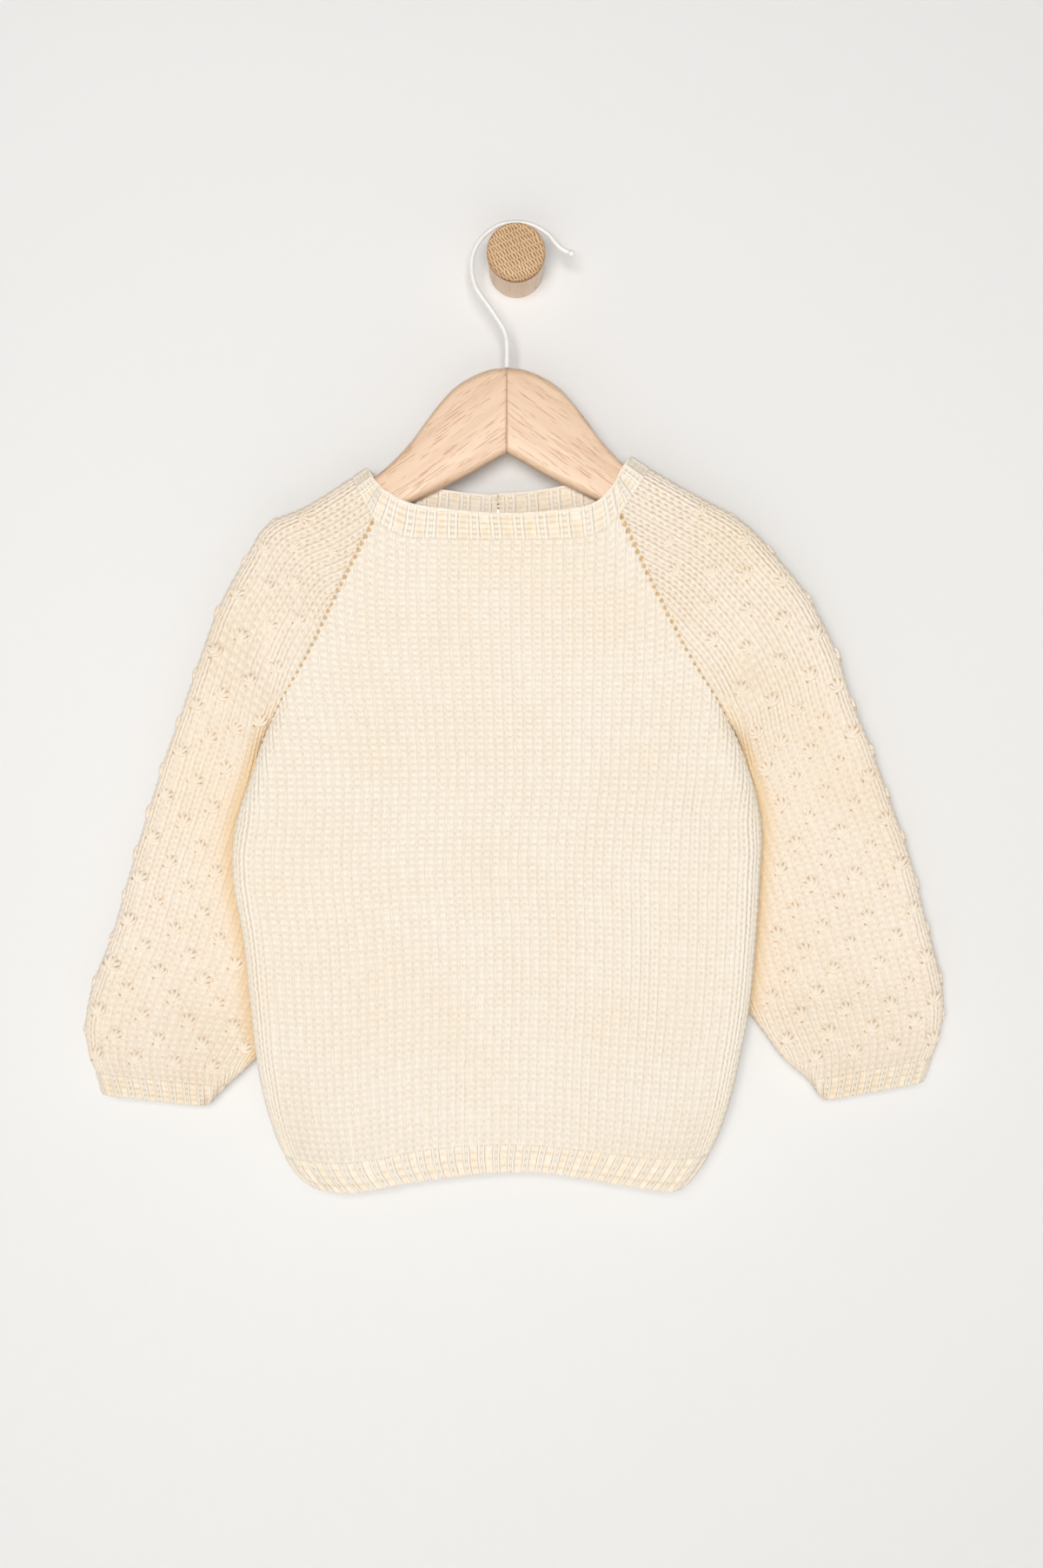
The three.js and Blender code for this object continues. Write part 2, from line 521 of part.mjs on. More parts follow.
/** One wooden arm of the hanger, lofted from the mitre to its rounded end. */
function addHangerArm(name, side) {
  const cornerAngles = [0, 30, 60, 90].map(THREE.MathUtils.degToRad);
  const rings = ARM.map(({ run, top, foot }) => {
    const taper = Math.sqrt(1 - (Math.max(0, run - HANGER.tipFrom) / HANGER.tipRound) ** 2);
    const depth = (HANGER.thick / 2) * taper;
    const corner = Math.min(HANGER.corner, (top - foot) / 2) * taper;
    const ring = [];
    for (const [ySign, zSign] of [[-1, 1], [1, 1], [1, -1], [-1, -1]]) {
      const angles = ySign * zSign < 0 ? [...cornerAngles].reverse() : cornerAngles;
      for (const a of angles) {
        const y = ySign * (depth - corner * (1 - Math.sin(a)));
        const edge = zSign > 0 ? top : foot;
        ring.push(new THREE.Vector3(side * (run + SEAM / 2), y, edge - zSign * corner * (1 - Math.cos(a))));
      }
    }
    return side > 0 ? ring.reverse() : ring;
  });
  add(name, loft(rings), materials.hangerWood()).position.set(HANGER.x, HANG_Y, 0);
}

/** Steel wire hook with its ball tip. */
function addHook() {
  const route = new THREE.CatmullRomCurve3(HOOK.map(({ x, z }) => new THREE.Vector3(x, HANG_Y, z)));
  const section = new THREE.Shape().absarc(0, 0, WIRE_RADIUS, 0, 2 * Math.PI);
  const wire = new THREE.ExtrudeGeometry(section, { steps: 56, curveSegments: 5, extrudePath: route });
  const ball = new THREE.SphereGeometry(BALL.radius, 14, 10).translate(BALL.x, HANG_Y, BALL.z);
  add('hook', joined(wasm, wire, ball), materials.paintedWire());
}

/** Round wall peg: a slightly tapered body and the separate cap in front of it. */
function addPeg() {
  const turned = (profile) => new THREE.LatheGeometry(profile.map(([r, h]) => new THREE.Vector2(r, h)), 40);
  const { radius, baseRadius, length, capRadius, capThick, bevel } = PEG;
  const body = turned([
    [0, 0], [baseRadius, 0], [radius, length - bevel], [radius - bevel, length], [0, length],
  ]);
  const capBack = length + SEAM;
  const capFront = capBack + capThick;
  const cap = turned([
    [0, capBack], [capRadius - bevel, capBack], [capRadius, capBack + bevel],
    [capRadius, capFront - bevel], [capRadius - bevel, capFront], [0, capFront],
  ]);
  for (const [name, geometry, material] of [
    ['peg_body', body, materials.pegBody()],
    ['peg_cap', cap, materials.pegWood()],
  ]) {
    add(name, geometry, material).rotation.z = Math.PI;
  }
}

/** Small button and thread loop that close the slit at the back of the neckband. */
function addFastening() {
  const { radius, thick, x, z, hollow, rim, edge } = BUTTON;
  const bandY = HANG_Y + read(BODY, 'z', 'half', z);
  const profile = [
    [0, 0], [radius - edge, 0], [radius, edge], [radius, thick - edge], [radius - edge, thick],
    [radius - rim, thick], [radius - rim - edge, thick - hollow], [0, thick - hollow],
  ];
  const disc = new THREE.LatheGeometry(profile.map(([r, h]) => new THREE.Vector2(r, h)), 24);
  add('neck_button', disc, materials.button()).position.set(x, bandY + SEAM, z);

  const reach = radius + SEAM + LOOP.radius;
  const route = steps(LOOP.startAngle, 360 - LOOP.startAngle, 24).map((degrees) => {
    const angle = THREE.MathUtils.degToRad(degrees);
    const [right, up] = [reach * Math.cos(angle), reach * Math.sin(angle)];
    return new THREE.Vector3(x + right, bandY + SEAM + LOOP.radius, z + up);
  });
  const section = new THREE.Shape().absarc(0, 0, LOOP.radius, 0, 2 * Math.PI);
  const settings = { steps: 28, curveSegments: 3, extrudePath: new THREE.CatmullRomCurve3(route) };
  add('button_loop', new THREE.ExtrudeGeometry(section, settings), materials.bodyKnit());
}

addBody();
addSleeve('left', LEFT_SLEEVE);
addSleeve('right', RIGHT_SLEEVE);
addNeckband();
addHangerArm('hanger_arm_left', -1);
addHangerArm('hanger_arm_right', 1);
addHook();
addPeg();
addFastening();

export default sweater;
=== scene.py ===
"""Child's hand-knitted raglan sweater on a wooden hanger, hooked over a round wall peg.

The tables and sizes below are in millimetres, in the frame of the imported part: the origin is the
centre of the peg's back face, the wall is the plane Y = 0 and the sweater's front faces -Y.
Meshes are made in metres. Left and right are those of somebody who looks at the front.
"""

import logging
import math
from collections.abc import Callable, Iterable, Sequence
from dataclasses import dataclass, field
from enum import Enum
from functools import partialmethod

import bmesh
import bpy
import numpy as np
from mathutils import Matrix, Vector
from mathutils.geometry import tessellate_polygon


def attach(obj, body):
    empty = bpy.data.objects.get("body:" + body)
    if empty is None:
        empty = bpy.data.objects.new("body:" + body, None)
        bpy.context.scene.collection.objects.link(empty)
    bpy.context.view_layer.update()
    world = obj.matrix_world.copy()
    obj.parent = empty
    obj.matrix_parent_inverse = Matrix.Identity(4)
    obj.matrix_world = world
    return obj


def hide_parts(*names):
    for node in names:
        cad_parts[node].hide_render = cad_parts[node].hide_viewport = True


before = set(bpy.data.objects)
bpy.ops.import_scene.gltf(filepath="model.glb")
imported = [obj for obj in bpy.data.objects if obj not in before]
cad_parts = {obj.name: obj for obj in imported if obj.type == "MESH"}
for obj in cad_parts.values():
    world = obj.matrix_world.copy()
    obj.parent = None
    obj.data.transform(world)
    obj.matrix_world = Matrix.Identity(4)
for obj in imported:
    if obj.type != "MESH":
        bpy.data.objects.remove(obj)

SHARP_ANGLE = math.radians(62)
LOG = logging.getLogger("sweater")
Piece = bpy.types.Object
Socket = bpy.types.NodeSocket
Tree = bpy.types.NodeTree
Array = np.ndarray
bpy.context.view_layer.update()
MM = 0.001

# ---------- sizes shared with the part ----------
CLOTH = 2.4              # thickness of the knitted cloth
SEAM = 0.3               # gap between two solids at a seam
EDGE_GAP = 0.015         # gap between two edges of cloth that are sewn together
HANG_Y = -37.0           # plane of the hanger, the hook and the side seams
ARMPIT_Z = -251.0        # height where the raglan seams end
ARMPIT_ROW = 0.3         # the same place among the rows of the body's outline
ARMPIT_ROUND = 20.0      # length over which a raglan seam turns in to the side seam
CUFF_LENGTH = 14.0
SLEEVE_ROUND = 9.0       # radius of the folds at the edges of a sleeve
TUCK_CURVE = 1.6         # how late a tucked sleeve comes forward on its way to the outer fold
NECK_SEAM = 0.004        # seams under the neckband and over the hem, as shares of their heights
HEM_SEAM = 0.003
CUFF_SEAM = 0.06
WIRE_RADIUS = 1.35
MITRE = 0.1              # gap between the two arms of the hanger

# ---------- gauge of the knitting ----------
STEPS = 4                # mesh steps across a stitch and along a row
YOKE_ROWS = 30           # rows of knitting from the neck to the armpits
BODY_ROWS = 63           # rows from the armpits to the hem
ARM_ROWS = 60            # rows from an armpit to the cuff
BODY_EDGE = 28.8         # stitches from the middle of the front or back to the side seam
EDGE_Z = -322.0          # height below which the body keeps that count
EDGE_TURN = 34.0         # height above it over which the count turns to what the width takes
CLAMP = 0.16             # columns nearer than this to an edge, in stitches, end in it
LEAN = 0.55              # how far the legs of a stitch rise towards its sides, in rows
SLIT_ROWS = 13.0         # rows of the back down to which the slit is open
SLIT_HALF = 0.08         # half its width, in stitches
SLIT_GAP = 0.5           # gap between an end of the neckband and the middle of the slit
EYELET_TOP = 0.7         # depth of the top eyelet of a raglan seam
EYELET_FOOT = 0.25       # and of the last one
# painted shade inside the eyelets, the holes along the raglan seams
EYELET_PAINTED_SHADE = "#e3be8a"
SEAM_FAR = 9.0           # distance from a seam, in stitches, with no eyelets near
RIB_ROWS = 4.0           # rows of the ribs at the hem and the cuffs
RIB_STEPS = (4, 5)       # mesh steps across a stitch and along a row of a rib
RIB_FROM = 10.0          # number of a rib's first row where it has no rolled edge
BOBBLES_FROM = 5.0       # row above which the sleeves have no bobbles
ARC_SHARE = 0.18         # share of the part's steps spent on each edge of a section
SEAM_STRIP = 4.0         # width of that share along a level edge


@dataclass(frozen=True)
class Table:
    """Rows of numbers with named columns, read smoothly between the rows.

    Args:
        columns: names of the columns; the first is the key, rising or falling all the way.
        rows: one tuple of numbers for each row.
    """

    columns: tuple[str, ...]
    rows: tuple[tuple[float, ...], ...]

    def read(self, column: str, at: Array | float) -> Array:
        """Smooth value of a column.

        Args:
            column: name of the column.
            at: values of the key column.

        Returns:
            The column's values there, in the shape of `at`.
        """
        keys = np.array([row[0] for row in self.rows])
        values = np.array([row[self.columns.index(column)] for row in self.rows])
        if keys[-1] < keys[0]:
            keys, values = keys[::-1], values[::-1]
        slopes = np.gradient(values)
        slopes[1:-1] = (values[2:] - values[:-2]) / (keys[2:] - keys[:-2])
        slopes[0] = (values[1] - values[0]) / (keys[1] - keys[0])
        slopes[-1] = (values[-1] - values[-2]) / (keys[-1] - keys[-2])
        at = np.asarray(at, float)
        i = np.clip(np.searchsorted(keys, at, side="right") - 1, 0, len(keys) - 2)
        span = keys[i + 1] - keys[i]
        t = np.clip((at - keys[i]) / span, 0, 1)
        start = (2 * t**3 - 3 * t**2 + 1) * values[i] + (t**3 - 2 * t**2 + t) * span * slopes[i]
        end = (3 * t**2 - 2 * t**3) * values[i + 1] + (t**3 - t**2) * span * slopes[i + 1]
        return start + end


BODY = Table(("z", "left", "right", "half", "round", "swell"), (
    (-126, -67.0, 49.0, 9.2, 8, 0.0),
    (-142, -75.4, 56.6, 9.2, 8, 0.0),
    (-176, -92.5, 72.3, 9.2, 8, 0.0),
    (-216, -111.9, 93.0, 9.2, 8, 0.4),
    (-251, -131.6, 114.4, 9.2, 8, 0.8),
    (-280, -142.0, 125.9, 9.8, 11, 1.2),
    (-306, -150.2, 131.0, 10.2, 12, 1.6),
    (-332, -151.6, 130.4, 10.6, 12, 2.0),
    (-366, -146.0, 128.2, 10.8, 12, 2.2),
    (-403, -142.0, 124.6, 10.8, 12, 2.2),
    (-431, -138.6, 119.4, 10.6, 12, 2.2),
    (-455, -133.6, 113.6, 10.4, 11, 2.0),
    (-476, -126.4, 105.8, 9.6, 10, 1.4),
    (-490, -118.6, 97.4, 8.6, 8, 0.6),
    (-500, -108.0, 89.0, 8.0, 8, 0.2),
))
FRONT_NECK = Table(("at", "z"), (
    (0, -142.7), (0.11, -151.3), (0.25, -152.8), (0.54, -153.3), (0.81, -152.6), (0.92, -149.2), (1, -139.4),
))
BACK_NECK = Table(("at", "z"), ((0, -131), (0.2, -137.4), (0.5, -140.4), (0.8, -136.4), (1, -128.6)))
RIB_TOP = Table(("at", "z"), (
    (0, -482), (0.15, -484.6), (0.35, -477), (0.56, -474.8), (0.76, -479.4), (0.9, -482.8), (1, -481),
))
HEM = Table(("at", "z"), (
    (0, -498), (0.1, -501.2), (0.32, -494), (0.54, -489.8), (0.68, -491.7), (0.95, -500.4), (1, -499),
))
# Width of a stitch down the body.
BODY_GAUGE = Table(("z", "wide"), (
    (-126, 5.6), (-199, 5.48), (-282, 5.07), (-366, 4.86), (-436, 4.76), (-500, 4.7),
))

SLEEVE_COLUMNS = ("at", "outX", "outZ", "inY", "outY", "half", "thin", "wide")
LEFT_SLEEVE = Table(SLEEVE_COLUMNS, (
    (0, -87.8, -119.5, -37, -37, 9.2, 1, 4.7),
    (26, -112, -134.6, -37, -37, 9.2, 1, 4.8),
    (49, -133, -144.6, -37, -37, 9.2, 1, 4.9),
    (72, -144.8, -163, -37, -37, 9.2, 1, 4.9),
    (99, -159, -189, -37, -37, 9.2, 1, 4.9),
    (127, -171, -222, -37, -37, 9.2, 1, 4.9),
    (149, -179.8, -246, -28, -34, 9.2, 0.95, 4.9),
    (171, -188.8, -270, -19, -31, 9.0, 0.9, 4.9),
    (198, -198, -297, -13.5, -27, 9.0, 0.85, 4.9),
    (230, -207.2, -327, -12, -26, 9.6, 0.82, 4.9),
    (268, -218, -364, -12, -25, 10, 0.82, 4.9),
    (296, -229, -393, -12, -24.5, 10.2, 0.85, 4.9),
    (314, -232.8, -413, -15.5, -24, 10.2, 0.9, 4.7),
    (329, -231.2, -428, -18, -23.5, 9.6, 0.95, 4.2),
    (341, -227.6, -439, -19.5, -23, 8.6, 1, 3.9),
    (355, -224.3, -451, -20, -22, 8, 1, 3.7),
))
RIGHT_SLEEVE = Table(SLEEVE_COLUMNS, (
    (0, 71.8, -114.8, -37, -37, 9.2, 1, 4.7),
    (26, 97, -129.2, -37, -37, 9.2, 1, 4.8),
    (53, 121, -142.8, -37, -37, 9.2, 1, 4.9),
    (77, 137, -159, -37, -37, 9.2, 1, 4.9),
    (104, 156, -182.6, -37, -37, 9.2, 1, 4.9),
    (132, 171, -212, -37, -37, 9.2, 1, 4.9),
    (155, 180, -238, -28, -34, 9.2, 0.95, 4.9),
    (178, 190, -261.5, -19, -31, 9.0, 0.9, 4.9),
    (204, 200, -287.6, -13.5, -27, 9.0, 0.85, 4.9),
    (237, 212, -321, -12, -26, 9.6, 0.82, 4.9),
    (275, 222.5, -361, -12, -25, 10, 0.82, 4.9),
    (297, 229, -386, -12, -24.5, 10.2, 0.85, 4.9),
    (317, 231, -403, -16, -24, 10.2, 0.9, 4.7),
    (334, 229, -419, -18, -23.5, 9.6, 0.95, 4.2),
    (346, 225, -431, -19.5, -23, 8.6, 1, 3.9),
    (360, 220.9, -444, -20, -22, 8, 1, 3.7),
))
# Underarm seams below the armpits, at distances along the sleeves.
LEFT_UNDERARM = Table(("at", "x", "z"), (
    (127, -132, -251), (149, -138.2, -268), (171, -138, -288), (198, -132, -313), (230, -126, -346),
    (268, -124, -385), (296, -126, -410), (314, -134, -424), (329, -146, -437), (341, -157, -447),
    (355, -167.5, -457.5),
))
RIGHT_UNDERARM = Table(("at", "x", "z"), (
    (132, 115, -251), (155, 122, -268), (178, 121, -289), (204, 115, -314), (237, 109, -347),
    (275, 112, -381), (297, 121, -399), (317, 134, -417), (334, 146, -433), (346, 158, -443.5),
    (360, 166.5, -454.5),
))
NECKBAND = Table(("around", "dx", "dz"), (
    (0, 0, 12.8), (0.5, 1.5, 13.6), (1, 3.5, 12), (1.5, 8.3, 5.5), (2, 5.6, 15.7), (2.11, 3.2, 18),
    (2.25, 1, 16.4), (2.54, -1.4, 14.1), (2.81, -1.5, 15.8), (2.92, -2, 16.2), (3, -3.4, 15.4),
    (3.5, -10.5, 7), (4, -2.5, 12.5), (4.5, -1.5, 13.6), (5, 0, 13.6),
))
ARM = Table(("run", "top", "foot"), (
    (0, -61.0, -106.1), (9, -62.0, -111.2), (19, -66.0, -117), (28, -71.8, -121.6), (36, -80.4, -125.6),
    (43, -89.6, -129.1), (51, -100.4, -133), (60, -110.2, -137), (72, -120.4, -142), (88, -130, -148.4),
    (104, -139, -154.4), (118, -146.6, -159.6), (124, -151, -160.4), (127, -154.6, -158.6),
))
HOOK = (
    (-5.0, -60.6), (-5.0, -47), (-6.4, -40.5), (-10.2, -34), (-14.4, -27.8), (-18.6, -22), (-21.6, -17.2),
    (-23.6, -10.4), (-23.8, -3.2), (-22.2, 3), (-18.8, 8.6), (-14.2, 12.9), (-8.6, 16.1), (-2.6, 17.35),
    (2.6, 17.35), (8.2, 16.2), (13, 13.9), (17.6, 10.6), (21.2, 6.2), (24.8, 3), (29, 1),
)

# Soft folds, a row for each: X and Z of its two ends, its width and its depth, above 0 for a
# trough and below 0 for a ridge.
SLEEVE_FOLDS = (
    (-132, -190, -132, -250, 7, 3.0),
    (118, -198, 118, -250, 7, 2.4),
)
BODY_FOLDS = (
    (-95, -300, -108, -420, 9, 0.8),
    (70, -330, 84, -450, 10, 0.9),
    (-20, -410, -28, -492, 8, 0.7),
    (28, -402, 31, -486, 7, -0.5),
    (-58, -240, -70, -330, 10, -0.5),
    (94, -262, 106, -330, 7, 0.7),
    (8, -206, 2, -262, 9, 0.4),
)


def mix(a: Array | float, b: Array | float, t: Array | float) -> Array:
    """Value between a and b at share t."""
    return a + (b - a) * t


def smooth(t: Array) -> Array:
    """Soft step from 0 to 1."""
    t = np.clip(t, 0, 1)
    return t * t * (3 - 2 * t)


def fold_depth(folds: Sequence[Sequence[float]], x: Array, z: Array) -> Array:
    """Depth of listed soft folds, in millimetres.

    Args:
        folds: rows as in SLEEVE_FOLDS.
        x: places across the cloth.
        z: heights.

    Returns:
        How far the cloth lies back at each place.
    """
    depth = np.zeros(np.broadcast(x, z).shape)
    for x0, z0, x1, z1, width, deep in folds:
        run = np.hypot(x1 - x0, z1 - z0)
        ux, uz = (x1 - x0) / run, (z1 - z0) / run
        along = ((x - x0) * ux + (z - z0) * uz) / run
        across = ((x - x0) * uz - (z - z0) * ux) / width
        taper = np.sin(np.pi * np.clip(along, 0, 1)) ** 1.2
        depth += deep * taper * np.exp(-across * across)
    return depth


class Side(Enum):
    """The two faces of the body, and the way each looks along Y."""

    FRONT = -1
    BACK = 1


@dataclass
class FlatOval:
    """Half of a flat section between two rounded edges, measured along its surface.

    Args:
        width: distance between the edges.
        half: depth of the section.
        rounds: radius across each edge.
        levels: 1 where an edge lies level with the face, near 0 where it turns in.
    """

    width: Array
    half: Array
    rounds: tuple[Array, Array]
    levels: tuple[Array, Array]

    def __post_init__(self) -> None:
        """Works out the arcs at both edges."""
        self.starts = [np.arcsin(np.clip(level, 0, 1)) for level in self.levels]
        self.radii = [(r + self.half) / 2 for r in self.rounds]
        self.arcs = [radius * (np.pi / 2 - start) for radius, start in zip(self.radii, self.starts)]
        self.reaches = [r * np.cos(start) for r, start in zip(self.rounds, self.starts)]
        self.length = self.width + sum(self.arcs) - sum(self.reaches)

    def at(self, along: Array) -> tuple[Array, Array]:
        """Distance across and share of the depth at a distance along the surface."""
        ends = []
        for edge, distance in ((0, along), (1, self.length - along)):
            angle = self.starts[edge] + np.clip(distance, 0, self.arcs[edge]) / self.radii[edge]
            straight = np.maximum(distance - self.arcs[edge], 0)
            ends.append((self.reaches[edge] - self.rounds[edge] * np.cos(angle) + straight, np.sin(angle)))
        (first, rise_first), (last, rise_last) = ends
        run = np.where(along < self.length / 2, first, self.width - last)
        return run, rise_first * rise_last


class BodyForm:
    """Outside of the front and back, as in the part."""

    def row_height(self, side: Side, share: Array, row: Array) -> Array:
        """Height of the cloth at a share of the width; row 0 is the neck, 1 the rib, 2 the hem."""
        neck = (FRONT_NECK if side is Side.FRONT else BACK_NECK).read("z", share)
        rib = RIB_TOP.read("z", share)
        yoke = mix(neck, ARMPIT_Z, row / ARMPIT_ROW)
        lower = mix(ARMPIT_Z, rib, (row - ARMPIT_ROW) / (1 - ARMPIT_ROW))
        hem = mix(rib, HEM.read("z", share), row - 1)
        return np.where(row <= ARMPIT_ROW, yoke, np.where(row <= 1, lower, hem))

    def section(self, side: Side, row: Array) -> tuple[FlatOval, Array, Array]:
        """The flat oval of a row, its left edge and the height of its edges."""
        heights = [self.row_height(side, np.full_like(row, at), row) for at in (0.0, 1.0)]
        left = BODY.read("left", heights[0])
        width = BODY.read("right", heights[1]) - left
        middle = (heights[0] + heights[1]) / 2
        half = BODY.read("half", middle)
        levels = [
            np.maximum(np.sin(np.clip((z - ARMPIT_Z) / ARMPIT_ROUND, 0, 1) * np.pi / 2), EDGE_GAP / 2 / half)
            for z in heights
        ]
        rounds = BODY.read("round", middle)
        return FlatOval(width, half, (rounds, rounds), (levels[0], levels[1])), left, middle

    def place(self, side: Side, along: Array, row: Array) -> Array:
        """Points on the outside of the cloth.

        Args:
            side: front or back.
            along: distance along the cloth from its left edge.
            row: row of the outline.

        Returns:
            Points, with X, Y and Z last.
        """
        oval, left, middle = self.section(side, row)
        run, rise = oval.at(np.clip(along, 0, oval.length))
        share = run / oval.width
        z = self.row_height(side, share, row)
        swell = BODY.read("swell", middle) * np.sin(np.pi * share)
        x = left + run
        fold = fold_depth(BODY_FOLDS, x, z) * rise
        y = HANG_Y + side.value * (oval.half * rise + swell - fold)
        return np.stack(np.broadcast_arrays(x, y, z), -1)


BODY_FORM = BodyForm()


@dataclass(frozen=True)
class SleeveForm:
    """Outside of a sleeve, as in the part.

    Args:
        outward: -1 for the left sleeve, +1 for the right one.
        armpit_at: distance along the sleeve to the armpit.
        table: sections along the sleeve.
        underarm: the underarm seam.
    """

    outward: int
    armpit_at: float
    table: Table
    underarm: Table

    @property
    def length(self) -> float:
        """Length along the sleeve, cuff included."""
        return self.table.rows[-1][0]

    def beyond(self, x: Array, z: Array) -> Array:
        """How far places lie outside the body's edge."""
        return (x - BODY.read("left" if self.outward < 0 else "right", z)) * self.outward

    def start(self, side: Side, at: Array) -> tuple[Array, Array, Array]:
        """Seam edge of a section: X, Z and how level the edge lies."""
        row = np.minimum(ARMPIT_ROW * at / self.armpit_at, ARMPIT_ROW)
        oval, _, _ = BODY_FORM.section(side, row)
        seam = BODY_FORM.place(side, np.zeros_like(row) if self.outward < 0 else oval.length, row)
        half = self.table.read("half", at)
        yoke = at < self.armpit_at
        x = np.where(yoke, seam[..., 0] + self.outward * EDGE_GAP, self.underarm.read("x", at))
        z = np.where(yoke, seam[..., 2], self.underarm.read("z", at))
        level = np.where(yoke, np.minimum(1, np.abs(seam[..., 1] - HANG_Y) / half), 0)
        return x, z, level

    def section(self, side: Side, at: Array) -> tuple[FlatOval, Array, Array]:
        """The flat oval from the seam to the outer fold, and the two ends in X and Z."""
        x, z, level = self.start(side, at)
        start = np.stack([x, z], -1)
        end = np.stack([self.table.read("outX", at), self.table.read("outZ", at)], -1)
        half = self.table.read("half", at)
        rounds = np.full_like(half, SLEEVE_ROUND)
        width = np.linalg.norm(end - start, axis=-1)
        return FlatOval(width, half, (rounds, rounds), (level, np.zeros_like(half))), start, end

    def place(self, side: Side, along: Array, at: Array) -> Array:
        """Points on the outside of one face of the sleeve, measured from its seam."""
        oval, start, end = self.section(side, at)
        run, rise = oval.at(np.clip(along, 0, oval.length))
        share = run / oval.width
        flat = mix(start, end, share[..., None])
        middle = mix(
            self.table.read("inY", at), self.table.read("outY", at), np.clip(share, 0, 1) ** TUCK_CURVE
        )
        depth = oval.half * mix(self.table.read("thin", at), 1, share) * rise
        fold = fold_depth(SLEEVE_FOLDS, flat[..., 0], flat[..., 1]) * rise
        y = middle + side.value * depth + (fold if side is Side.FRONT else 0.7 * -fold)
        return np.stack([flat[..., 0], y, flat[..., 1]], -1)


LEFT_FORM = SleeveForm(-1, 127.0, LEFT_SLEEVE, LEFT_UNDERARM)
RIGHT_FORM = SleeveForm(1, 132.0, RIGHT_SLEEVE, RIGHT_UNDERARM)


# ---------- making meshes ----------

Surface = Callable[[Array, Array], Array]
Limits = Callable[[Array], tuple[Array, Array]]


@dataclass
class MeshData:
    """Points and faces of a mesh under construction, with what each point carries."""

    points: list[Array] = field(default_factory=list)
    knit: list[Array] = field(default_factory=list)
    seam: list[Array] = field(default_factory=list)
    faces: list[tuple[int, ...]] = field(default_factory=list)
    count: int = 0

    def add(self, points: Array, knit: Array, seam: Array | float = SEAM_FAR) -> int:
        """Adds points in millimetres, and gives the first index.

        Args:
            points: the points.
            knit: their (stitch, row, relief).
            seam: how many stitches lie between them and a seam with eyelets.
        """
        first = self.count
        self.points.append(points.reshape(-1, 3))
        self.knit.append(knit.reshape(-1, 3))
        self.seam.append(np.broadcast_to(seam, points.shape[:-1]).reshape(-1))
        self.count += len(self.points[-1])
        return first

    def ring(self, x: float, y: float, z: float, radius: float, angles: Array) -> list[int]:
        """Adds a ring of points round an axis along Y, and gives their indices."""
        points = np.stack(
            [x + radius * np.cos(angles), np.full(len(angles), y), z + radius * np.sin(angles)], -1
        )
        first = self.add(points, np.zeros_like(points))
        return list(range(first, first + len(angles)))

    def band(self, low: list[int], high: list[int]) -> None:
        """Joins two rings by faces."""
        self.faces += [(low[k - 1], high[k - 1], high[k], low[k]) for k in range(len(low))]

    def piece(self, name: str, knit_layer: bool = True) -> Piece:
        """Makes the object, in metres, with the knit attribute on its points."""
        mesh = bpy.data.meshes.new(name)
        used = sorted({index for face in self.faces for index in face})
        numbers = np.zeros(self.count, int)
        numbers[used] = np.arange(len(used))
        numbers = numbers.tolist()
        faces = [tuple(numbers[index] for index in face) for face in self.faces]
        mesh.from_pydata((np.concatenate(self.points)[used] * MM).tolist(), [], faces)
        if knit_layer:
            layer = mesh.attributes.new("knit", "FLOAT_VECTOR", "POINT")
            layer.data.foreach_set("vector", np.concatenate(self.knit)[used].astype(np.float32).ravel())
            layer = mesh.attributes.new("seam", "FLOAT", "POINT")
            layer.data.foreach_set("value", np.concatenate(self.seam)[used].astype(np.float32))
        mesh.shade_smooth()
        mesh.validate()
        mesh.set_sharp_from_angle(angle=SHARP_ANGLE)
        obj = bpy.data.objects.new(name, mesh)
        bpy.context.scene.collection.objects.link(obj)
        return obj


def boundary_loops(faces: Iterable[tuple[int, ...]]) -> list[list[int]]:
    """Closed loops of open edges, each in the direction of its faces."""
    edges = set()
    for face in faces:
        for a, b in zip(face, face[1:] + face[:1]):
            if (b, a) in edges:
                edges.remove((b, a))
            else:
                edges.add((a, b))
    following = dict(edges)
    loops = []
    while following:
        start, at = following.popitem()
        loop = [start]
        while at != start:
            loop.append(at)
            at = following.pop(at)
        loops.append(loop)
    return sorted(loops, key=len, reverse=True)


def bridge(points: Array, outer: list[int], inner: list[int]) -> list[tuple[int, ...]]:
    """Rim of triangles between the loop of an outer face and that of its inner wall.

    Args:
        points: all points of the mesh.
        outer: loop of the outer face, in the direction of its faces.
        inner: loop of the inner wall, in the direction of its faces.

    Returns:
        The triangles.
    """
    inner = inner[::-1]
    start = int(np.argmin(np.linalg.norm(points[inner] - points[outer[0]], axis=1)))
    inner = inner[start:] + inner[:start]
    outer_ring, inner_ring = outer + outer[:1], inner + inner[:1]
    i = j = 0
    triangles = []
    while i < len(outer) or j < len(inner):
        a, c = outer_ring[i], inner_ring[j]
        step_outer = i < len(outer)
        if step_outer and j < len(inner):
            to_outer = np.linalg.norm(points[outer_ring[i + 1]] - points[c])
            step_outer = to_outer <= np.linalg.norm(points[inner_ring[j + 1]] - points[a])
        if step_outer:
            triangles.append((outer_ring[i + 1], a, c))
            i += 1
        else:
            triangles.append((c, inner_ring[j + 1], a))
            j += 1
    return triangles


